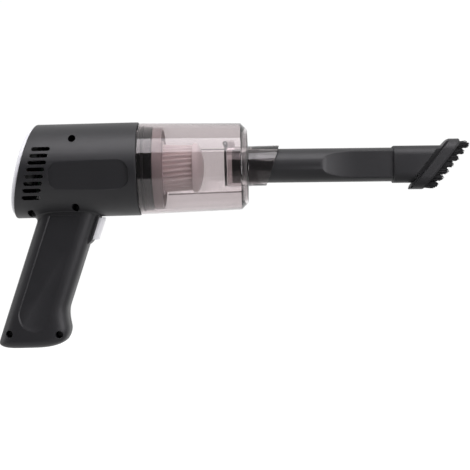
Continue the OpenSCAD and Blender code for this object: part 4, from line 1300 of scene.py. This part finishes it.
def make_collar():
    """The glossy black collar that the cup pushes onto, with its seal groove and filter socket."""
    groove, groove_end = SEAL_GROOVE
    socket_end = SPIGOT - SOCKET_LEN
    web = SPIGOT - COLLAR_WEB
    profile = [(-PLUG_LEN, COLLAR_BORE), (-PLUG_LEN, PLUG_R), (0, PLUG_R), (0, SPIGOT_R)]
    profile += [(groove, SPIGOT_R), (groove, SEAL_GROOVE_R)]
    profile += [(groove_end, SEAL_GROOVE_R), (groove_end, SPIGOT_R)]
    profile += arc((SPIGOT - RIM_ROUND, SPIGOT_R - RIM_ROUND), RIM_ROUND, 90, 0, 4)
    profile += [(SPIGOT, SOCKET_BORE + LEAD_IN), (SPIGOT - LEAD_IN, SOCKET_BORE)]
    profile += [(socket_end, SOCKET_BORE), (socket_end, SOCKET_R), (web, SOCKET_R), (web, COLLAR_BORE)]
    collar = turned(profile)
    hand_over(collar, "collar_black", "housing", gloss_black, ["front_collar"])
    ring = turned(arc(SEAL_MIDDLE, SEAL_ROUND, 0, 345, 23))
    hand_over(ring, "collar_ring_seal", "housing", seal_rubber, ["collar_seal"], angle=60)


def cup_profile():
    """The cup and its inlet tube as one wall, with small rounds of a few points at its edges."""
    rear_x, rear_r = CUP_REAR
    edge_x, edge_r = CUP_EDGE
    face_r = edge_r - (CUP_LEN - edge_x)
    inner = CUP_LEN - CUP_WALL
    ease = INLET_EASE
    profile = [(rear_x, rear_r - CUP_WALL + CUP_LIP)]
    profile += [(rear_x, rear_r - CUP_LIP), (rear_x + CUP_LIP, rear_r)]
    # The cone's front edge, the front face and the foot of the inlet tube
    profile += [(edge_x - 0.6, edge_r + 0.014), (edge_x - 0.2, edge_r - 0.06)]
    profile += [(edge_x + 0.3, edge_r - 0.38)]
    profile += [(CUP_LEN - 0.5, face_r + 0.5), (CUP_LEN - 0.12, face_r), (CUP_LEN, face_r - 0.5)]
    profile += [(CUP_LEN, INLET_R + 0.8), (CUP_LEN + 0.24, INLET_R + 0.24), (CUP_LEN + 0.8, INLET_R)]
    # The inlet tube's outside and bore
    profile += [(INLET_BLANK, INLET_R), (INLET_BLANK, INLET_BORE)]
    profile += [(INLET_IN + ease, INLET_BORE), (INLET_IN, INLET_BORE + ease)]
    profile += [(INLET_IN, INLET_R - ease), (INLET_IN + ease, INLET_R)]
    # The inside of the face and the cone
    profile += [(inner - 0.6, INLET_R), (inner, INLET_R + 0.6), (inner, face_r - 1)]
    profile += [(edge_x - 0.6, edge_r - CUP_WALL), (rear_x + CUP_LIP, rear_r - CUP_WALL)]
    return profile


def cup_outer(x):
    """The cup's outer radius along its cone."""
    return CUP_REAR[1] + (CUP_EDGE[1] - CUP_REAR[1]) * (x - CUP_REAR[0]) / (CUP_EDGE[0] - CUP_REAR[0])


def make_ribs():
    """Slim ribs on the inside of the cup's far wall, tinted far darker than the cup as painted shade for
    the dark lines that their edges show.
    """
    x0 = PLEAT_X + RIB_INSET
    x1 = RIB_END
    crest = CUP_WALL + RIB_H
    foot = CUP_WALL + RIB_GAP
    ribs = []
    for turn in RIB_TURNS:
        rib = sawn([
            (x0, cup_outer(x0) - crest), (x1, cup_outer(x1) - crest),
            (x1, cup_outer(x1) - foot), (x0, cup_outer(x0) - foot),
        ], RIB_W)
        ribs.append(placed(rib, Matrix.Rotation(math.radians(turn), 4, "X")))
    hand_over(soften(welded(ribs), RIB_EASE), "cup_ribs", "cup", rib_shade_smoke, ["dust_cup"])


def cup_ear(side):
    """An ear beside the flap's hinge."""
    foot = INLET_IN + EAR_LEN
    root = INLET_R - EAR_ROOT
    tip = arc((PIN_X, PIN_Z), BARREL_R, 90, 270, 12)
    outline = [(foot, PIN_Z + BARREL_R)] + tip
    outline += [(INLET_IN, PIN_Z - BARREL_R), (INLET_IN, root), (foot, root)]
    ear = sawn(outline, EAR_W)
    spot = (0, side * (BARREL_W / 2 + EAR_GAP + EAR_W / 2), 0)
    return placed(ear, lined_up(spot, (1, 0, 0), (0, -1, 0)))


def make_cup():
    """The see-through cup, its inlet tube sawn off on a slant, with the ears of the flap's hinge."""
    cup = turned(cup_profile())
    mouth = Vector((INLET_LOW, 0, -INLET_R)) * MM
    way = Vector((math.cos(MOUTH_SLANT), 0, -math.sin(MOUTH_SLANT)))
    open_bench(cup)
    saw_off(mouth, way, fill=False)

    def on_mouth(edge):
        return lies_on(edge, mouth, way)

    def round_the_tube(edge):
        radii = [round((vert.co.y ** 2 + vert.co.z ** 2) ** 0.5 / MM, 1) for vert in edge.verts]
        return radii[0] == radii[1]

    pick(cup, "EDGE", on_mouth)
    bpy.ops.mesh.bridge_edge_loops()
    pick(cup, "EDGE", lambda edge: on_mouth(edge) and round_the_tube(edge))
    bpy.ops.mesh.bevel(offset=MOUTH_EASE * MM, segments=3, affect="EDGES", clamp_overlap=False)
    clean_up()
    close_bench()
    for side in (-1, 1):
        carve(cup, cup_ear(side), "UNION")
    past_ears = 20
    pin_hole = rod(-past_ears, past_ears, PIN_R, 24)
    carve(cup, placed(pin_hole, lined_up((PIN_X, 0, PIN_Z), (0, 1, 0), (0, 0, 1))))
    hand_over(cup, "cup_smoky", "cup", smoke, ["dust_cup"], angle=30)


def make_flap():
    """The thin rubber flap behind the inlet, with its hinge barrel."""
    front = FLAP_X + FLAP_T
    disc = turned([
        (FLAP_X, 0), (FLAP_X, FLAP_R - FLAP_EASE), (FLAP_X + FLAP_EASE, FLAP_R),
        (front - FLAP_EASE, FLAP_R), (front, FLAP_R - FLAP_EASE), (front, 0),
    ], closed=False, steps=96)
    neck = plate(BARREL_W, NECK_H, 0.4, FLAP_T - 2 * NECK_SUNK, segments=3)
    neck_foot = (FLAP_X + NECK_SUNK, 0, FLAP_R + NECK_OUT)
    carve(disc, placed(neck, lined_up(neck_foot, (0, 1, 0), (1, 0, 0))), "UNION")
    along = lined_up((PIN_X, 0, PIN_Z), (0, 1, 0), (0, 0, 1))
    half = BARREL_W / 2
    barrel = turned([
        (-half, 0), (-half, BARREL_R - BARREL_EASE), (-half + BARREL_EASE, BARREL_R),
        (half - BARREL_EASE, BARREL_R), (half, BARREL_R - BARREL_EASE), (half, 0),
    ], closed=False, steps=32)
    carve(disc, placed(barrel, along), "UNION")
    past_barrel = 20
    carve(disc, placed(rod(-past_barrel, past_barrel, PIN_R + PIN_PLAY, 24), along))
    hand_over(disc, "flap_rubber_disc", "flap", flap_rubber, ["inlet_flap"])


def make_filter_holder():
    """The filter's frame: a sleeve for the collar's socket, a dished rim and a cage of four bars."""
    start = FILTER_X
    end = PLEAT_X
    sleeve = start - SLEEVE_LEN
    gasket_in, gasket_out = GASKET_ROOM
    gasket_seat = start + GASKET_DEEP
    dish = start + DISH_WALL
    web = end - CAGE_BAR
    profile = [(sleeve, SLEEVE_BORE), (sleeve, SLEEVE_R - LEAD_IN), (sleeve + LEAD_IN, SLEEVE_R)]
    profile += [(start, SLEEVE_R), (start, gasket_in), (gasket_seat, gasket_in)]
    profile += [(gasket_seat, gasket_out), (start, gasket_out)]
    profile += [(start, FILTER_R - RIM_ROUND), (start + RIM_ROUND, FILTER_R)]
    profile += arc((end - RIM_ROUND, FILTER_R - RIM_ROUND), RIM_ROUND, 90, 0, 4)
    profile += [(end, DISH_R), (dish, DISH_R), (dish, HUB_R)]
    profile += [(end - LEAD_IN, HUB_R), (end, HUB_R - LEAD_IN)]
    profile += [(end, CAGE_R), (web, CAGE_R), (web, SLEEVE_BORE)]
    holder = turned(profile)
    bar_spot = Matrix.Translation((end + PLEAT_LEN / 2 - 0.5, 0, CAGE_R))
    for degrees in CAGE_TURNS:
        bar = placed(plate(PLEAT_LEN + 1, CAGE_BAR, 0.3, CAGE_BAR, segments=3), bar_spot)
        carve(holder, placed(bar, Matrix.Rotation(math.radians(degrees), 4, "X")), "UNION")
    hand_over(holder, "filter_holder", "filter", filter_shell, ["filter_frame"])


def make_filter_nose():
    """The filter's nose cap: a band with a shallow dome."""
    shoulder_x, shoulder_in = CAP_SHOULDER
    cap = [(CAP_X, 0), (CAP_X, CAP_R - CAP_EASE), (CAP_X + CAP_EASE, CAP_R), (CAP_X + CAP_BAND, CAP_R)]
    cap += [(CAP_X + shoulder_x, CAP_R - shoulder_in)]
    for k in range(1, CAP_RINGS + 1):
        r = (CAP_R - CAP_DOME_INSET) * (1 - k / CAP_RINGS)
        cap.append((CAP_X + CAP_DOME_X + CAP_DOME * (1 - (r / CAP_R) ** 2), r))
    nose = turned(cap, closed=False)
    hand_over(nose, "filter_nose", "filter", cap_pale, ["filter_cap"])


def make_pleats():
    """Folded paper: round folds, slightly twisted and a little tighter towards the nose."""
    past_end = 1
    walls = []
    for inset in (0.0, PAPER_T):
        rings = []
        for k in range(PLEAT_RINGS + 1):
            share = k / PLEAT_RINGS
            x = PLEAT_X + PLEAT_LEN * share
            shrink = PLEAT_TAPER * share
            ring = []
            for i in range(PLEAT_COUNT * PLEAT_STEPS):
                fold = signed_power(math.cos(FULL_TURN * i / PLEAT_STEPS), PLEAT_POWER)
                a = FULL_TURN * i / (PLEAT_COUNT * PLEAT_STEPS) - PLEAT_TWIST * share
                r = PLEAT_R - inset - shrink - PLEAT_DEPTH * (0.5 - 0.5 * fold)
                ring.append((x, r * math.cos(a), r * math.sin(a)))
            rings.append(ring)
        if inset:
            rings[0] = [(x - past_end, y, z) for x, y, z in rings[0]]
            rings[-1] = [(x + past_end, y, z) for x, y, z in rings[-1]]
        walls.append(lofted(rings))
    sleeve = carve(walls[0], walls[1])
    hand_over(sleeve, "filter_folds", "filter", paper, ["filter_pleats"], angle=50)


# Nozzle and brush

def nozzle_form(radius, half_flat, x0, x1):
    """A round bar scooped away to two flats."""
    bar = rod(x0, x1, radius, 160)
    past_tip = x1 + 5
    curve = []
    for k in range(SCOOP_STEPS + 1):
        share = k / SCOOP_STEPS
        start = min(1.0, share / SCOOP_SOFT)
        drop = (1 - (1 - share) ** 2) * start * start * (3 - 2 * start)
        curve.append((SCOOP_X + SCOOP_LEN * share, radius - (radius - half_flat) * drop))
    outline = curve + [(past_tip, half_flat), (past_tip, 2 * radius), (SCOOP_X, 2 * radius)]
    for degrees in (0, 180):
        scoop = sawn(outline, 4 * radius)
        carve(bar, placed(scoop, Matrix.Rotation(math.radians(degrees), 4, "X")))
    return bar


def make_nozzle():
    """The crevice nozzle, bored along its own form."""
    tube = nozzle_form(NOZZLE_R, HALF_FLAT, NOZZLE_X, NOZZLE_TIP)
    bore_r = NOZZLE_R - NOZZLE_WALL
    bore_flat = HALF_FLAT - NOZZLE_WALL
    carve(tube, nozzle_form(bore_r, bore_flat, NOZZLE_X - 2, NOZZLE_TIP + 2))
    placed(tube, NOZZLE)
    hand_over(tube, "nozzle_flattened", "nozzle", nozzle_black, ["crevice_nozzle"], angle=28)


def across_nozzle(x):
    """A frame on the nozzle's line: X up, Z forwards."""
    return NOZZLE @ lined_up((x, 0, 0), (0, 0, 1), (1, 0, 0))


def on_flange(depth):
    """A frame at a depth over the flange's face."""
    return FLANGE @ Matrix.Translation((0, 0, depth))


def trim_to_slice(bar, low, high):
    """Saw a bar off on two planes that lie along the flange's face."""
    way = (FLANGE.to_3x3() @ Vector((0, 0, 1))).normalized()
    for depth, outer in ((high, True), (low, False)):
        open_bench(bar)
        saw_off((FLANGE @ Vector((0, 0, depth))) * MM, way, outer)
        clean_up()
        close_bench()
    return bar


def flange_slice(thick):
    """A slanted slice of the flange's rounded bar along the nozzle's line, its nose cut square."""
    high = FLANGE_LEN * math.cos(FLANGE_SLANT)
    bar = plate(high, FLANGE_W, FLANGE_CORNER, FLANGE_BLANK, segments=16)
    placed(bar, across_nozzle(FLANGE_X - FLANGE_BLANK / 2))
    trim_to_slice(bar, -thick, 0)
    open_bench(bar)
    saw_off((NOZZLE @ Vector((FLANGE_NOSE, 0, 0))) * MM, FORWARDS)
    clean_up()
    close_bench()
    return bar


def brush_oval():
    """The blank of the oval collar, eased at its rear rim."""
    oval = plate(OVAL_H, OVAL_W, OVAL_CORNER, OVAL_LEN, segments=14)
    open_bench(oval)
    pick(oval, "EDGE", lambda edge: all(vert.co.z < MERGE for vert in edge.verts))
    bpy.ops.mesh.bevel(offset=OVAL_EASE * MM, segments=3, affect="EDGES")
    close_bench()
    return placed(oval, across_nozzle(OVAL_X))


def brush_flange():
    """The flange, with its low tip cut off square and the edges of its back eased."""
    flange = flange_slice(FLANGE_T)
    open_bench(flange)
    saw_off((NOZZLE @ Vector((FLANGE_TIP, 0, 0))) * MM, FORWARDS, outer=False)
    clean_up()

    def on_back(edge):
        return all(((FLANGE.inverted() @ (vert.co / MM)).z < 0.01 - FLANGE_T) for vert in edge.verts)

    pick(flange, "EDGE", on_back)
    bpy.ops.mesh.bevel(offset=FLANGE_EASE * MM, segments=4, affect="EDGES", clamp_overlap=False)
    close_bench()
    return flange


def rim_groove():
    """The groove behind the flange's rim, round a core that stays."""
    around = (60, 40)
    groove = plate(*around, 4, GROOVE_W, segments=4)
    core = plate(around[0], GROOVE_CORE, 6, 10, segments=8)
    carve(groove, placed(core, Matrix.Translation((0, 0, -5))))
    return placed(groove, on_flange(-FLANGE_RIM - GROOVE_W))


def make_brush():
    """The brush head: an oval collar over the nozzle's tip and a slanted flange with a stepped rim."""
    head = carve(brush_oval(), brush_flange(), "UNION")
    carve(head, rim_groove())
    past_face = plate(120, 120, 2, 80, segments=2)
    carve(head, placed(past_face, on_flange(-BACKING_T)))
    tip_room = nozzle_form(NOZZLE_R + TIP_PLAY, HALF_FLAT + TIP_PLAY, OVAL_X - 1, NOZZLE_TIP + TIP_PLAY)
    carve(head, placed(tip_room, NOZZLE))
    duct_len = 60
    duct = plate(2 * (NOZZLE_R - NOZZLE_WALL), 2 * (HALF_FLAT - NOZZLE_WALL), DUCT_CORNER, duct_len)
    carve(head, placed(duct, across_nozzle(NOZZLE_TIP - 1)))
    mouth_deep = 30
    mouth = plate(MOUTH_LEN, MOUTH_W, MOUTH_CORNER, mouth_deep)
    carve(head, placed(mouth, on_flange(-FLANGE_T / 2)))
    hand_over(head, "brush_holder", "brush", brush_black, ["brush_head"])


def make_strand():
    """One bristle: a slim tapered bar with a slight bow, 1 mm long until it is drawn to its length."""
    rings = []
    for share, thick, bow in STRAND_RINGS:
        ring = []
        for i in range(STRAND_SIDES):
            a = FULL_TURN * i / STRAND_SIDES
            ring.append((bow + thick * math.cos(a), thick * math.sin(a), share))
        rings.append(ring)
    return lofted(rings)


def make_tuft(strand, draw):
    """A tuft of ragged bristles standing on Z, the middle ones longest."""
    copies = []
    for k in range(TUFT_STRANDS):
        out = TUFT_R * math.sqrt((k + 0.5) / TUFT_STRANDS)
        turn = GOLDEN_TURN * k + draw.uniform(-TUFT_STRAY, TUFT_STRAY)
        stands = STRAND_OUT - STRAND_SHORTER * (out / TUFT_R) ** 2
        reach = stands * draw.uniform(STRAND_RAGGED, 1.0) + STRAND_ROOT
        lean = STRAND_LEAN * out + draw.uniform(-STRAND_STRAY, STRAND_STRAY)
        spot = Matrix.Translation((out * math.cos(turn), out * math.sin(turn), -STRAND_ROOT))
        way = Matrix.Rotation(turn, 4, "Z") @ Matrix.Rotation(lean, 4, "Y")
        own = Matrix.Rotation(draw.uniform(0, FULL_TURN), 4, "Z") @ Matrix.Diagonal((1, 1, reach, 1))
        copy = twin(strand)
        placed(copy, spot @ way @ own)
        copies.append(copy)
    return welded(copies)


def tuft_spots():
    """Where the tufts stand on the flange's face: up its slope, and across it."""
    spots = []
    gaps = ROW_TUFTS - 1
    for side in (-1, 1):
        for i in range(gaps):
            spots.append((ROW_TOP + (ROW_LOW - ROW_TOP) * i / gaps, side * ROW_Y))
        spots.append((ROW_LOW, side * ROW_LOW_Y))
        for up, across in END_TUFTS:
            spots.append((up, side * across))
    return spots


def make_bristles():
    """Seven tufts down each long side and two at each end, in a rubber backing."""
    draw = random.Random(DRAW_SEED)
    strand = make_strand()
    kinds = [make_tuft(strand, draw) for k in range(TUFT_KINDS)]
    bpy.data.objects.remove(strand, do_unlink=True)
    upwards = (NOZZLE.to_3x3() @ Vector((0, 0, 1))).normalized()
    tufts = []
    for index, (up, across) in enumerate(tuft_spots()):
        stand = lined_up(FLANGE @ Vector((up, across, 0)), upwards, FORWARDS)
        spin = Matrix.Rotation(draw.uniform(0, FULL_TURN), 4, "Z")
        size = Matrix.Diagonal((1, 1, draw.uniform(TUFT_WORN, 1.0), 1))
        tuft = twin(kinds[index % TUFT_KINDS])
        placed(tuft, stand @ spin @ size)
        tufts.append(tuft)
    for kind in kinds:
        bpy.data.objects.remove(kind, do_unlink=True)
    backing = flange_slice(BACKING_T)
    carve(backing, placed(plate(MOUTH_LEN, MOUTH_W, MOUTH_CORNER, 10), on_flange(-5)))
    strips = ["bristles_right", "bristles_left", "bristles_top", "bristles_low"]
    hand_over(welded([backing] + tufts), "bristle_tufts", "brush", bristle_black, strips)


make_housing()
make_rear_cover()
make_cover_posts()
make_screws()
make_trigger()
make_collar()
make_cup()
make_ribs()
make_flap()
make_filter_holder()
make_filter_nose()
make_pleats()
make_nozzle()
make_brush()
make_bristles()


# Studio, in metres

FLOOR_MIDDLE = (0.1, 1.15, -0.30)
FLOOR_SPAN = (5.0, 3.7, 1)
FLOOR_PAINT = (0.02, 0.02, 0.02, 1)
# How bright the floor's painted glow is behind the object, in front of it, and in front off to the side
FLOOR_BACK = 1.05
FLOOR_FRONT = 0.86
FLOOR_SIDE = 0.14
GLOW_SPAN = (-0.2, 0.6)
FADE_SPAN = (0.15, 0.25)
LAMP_TINT = (0.985, 0.965, 1.0)
ROOM_BACK = (0.0, 1.0, 0.55)
ROOM_SPAN = (-0.35, 0.25)
ROOM_DIM = 0.11
ROOM_WHITE = 1.02
CAMERA_SPOT = (0.1457, -0.780, 0.0319)
CAMERA_ROLL = math.radians(1.45)
CAMERA_LENS = 77
CAMERA_SENSOR = 36


def make_floor():
    """A glowing floor below, painted light in place of lit white paper: a near-black sheet whose glow is
    brighter behind the object than in front of it.
    """
    bpy.ops.object.select_all(action="DESELECT")
    bpy.ops.mesh.primitive_plane_add(size=1, location=FLOOR_MIDDLE)
    floor = bpy.context.object
    floor.scale = FLOOR_SPAN
    bpy.ops.object.transform_apply(location=True, rotation=True, scale=True)
    floor.name = "studio_floor"
    finish, tree, shader = blank_finish("floor_painted_glow")
    place = tree.nodes.new("ShaderNodeTexCoord")
    parts = tree.nodes.new("ShaderNodeSeparateXYZ")
    glow = tree.nodes.new("ShaderNodeMapRange")
    glow.interpolation_type = "SMOOTHSTEP"
    glow.inputs["From Min"].default_value = GLOW_SPAN[0]
    glow.inputs["From Max"].default_value = GLOW_SPAN[1]
    glow.inputs["To Max"].default_value = FLOOR_BACK
    fade = tree.nodes.new("ShaderNodeMapRange")
    fade.interpolation_type = "SMOOTHSTEP"
    fade.inputs["From Min"].default_value = FADE_SPAN[0]
    fade.inputs["From Max"].default_value = FADE_SPAN[1]
    fade.inputs["To Min"].default_value = FLOOR_FRONT
    fade.inputs["To Max"].default_value = FLOOR_SIDE
    tree.links.new(place.outputs["Object"], parts.inputs["Vector"])
    tree.links.new(parts.outputs["X"], fade.inputs["Value"])
    tree.links.new(fade.outputs["Result"], glow.inputs["To Min"])
    tree.links.new(parts.outputs["Y"], glow.inputs["Value"])
    tree.links.new(glow.outputs["Result"], shader.inputs["Emission Color"])
    shader.inputs["Base Color"].default_value = FLOOR_PAINT
    shader.inputs["Roughness"].default_value = 0.9
    shader.inputs["Emission Strength"].default_value = 1.0
    floor.data.materials.append(finish)


def make_light(name, spot, aim, size, radiance):
    """A soft box whose face has a given brightness, against 1 for paper white."""
    light = bpy.data.lights.new(name, "AREA")
    light.shape = "RECTANGLE"
    light.size, light.size_y = size
    light.energy = radiance * math.pi * size[0] * size[1]
    light.color = LAMP_TINT
    lamp = bpy.data.objects.new(name, light)
    lamp.location = spot
    lamp.rotation_euler = (Vector(aim) - Vector(spot)).to_track_quat("-Z", "Y").to_euler()
    lamp.visible_camera = False
    bpy.context.collection.objects.link(lamp)


def make_world():
    """White paper behind and above the object, a dim room in front of it."""
    world = bpy.data.worlds.new("studio_room")
    bpy.context.scene.world = world
    world.use_nodes = True
    tree = world.node_tree
    room = tree.nodes["Background"]
    room.inputs["Color"].default_value = (1, 1, 1, 1)
    place = tree.nodes.new("ShaderNodeTexCoord")
    behind = tree.nodes.new("ShaderNodeVectorMath")
    behind.operation = "DOT_PRODUCT"
    behind.inputs[1].default_value = ROOM_BACK
    glow = tree.nodes.new("ShaderNodeMapRange")
    glow.inputs["From Min"].default_value = ROOM_SPAN[0]
    glow.inputs["From Max"].default_value = ROOM_SPAN[1]
    glow.inputs["To Min"].default_value = ROOM_DIM
    glow.inputs["To Max"].default_value = ROOM_WHITE
    tree.links.new(place.outputs["Generated"], behind.inputs[0])
    tree.links.new(behind.outputs["Value"], glow.inputs["Value"])
    tree.links.new(glow.outputs["Result"], room.inputs["Strength"])


def make_camera():
    """The photograph's camera, level and a touch rolled."""
    camera = bpy.data.cameras.new("photo_camera")
    camera.lens = CAMERA_LENS
    camera.sensor_width = CAMERA_SENSOR
    stand = bpy.data.objects.new("photo_camera", camera)
    stand.location = CAMERA_SPOT
    stand.rotation_euler = (math.radians(90), CAMERA_ROLL, 0)
    bpy.context.collection.objects.link(stand)
    bpy.context.scene.camera = stand


make_floor()
make_light("soft_box_above", (0.1, -0.55, 0.92), (0.1, 0, 0.085), (1.45, 0.74), 4.2)
make_light("soft_box_right", (1.1, -0.72, -0.02), (0.05, 0, 0.04), (0.85, 1.1), 4.6)
make_light("soft_box_left", (-1.2, -0.20, 0.10), (0.0, 0, 0.04), (0.5, 1.1), 1.8)
make_world()
make_camera()
bpy.context.scene.view_settings.view_transform = "Standard"
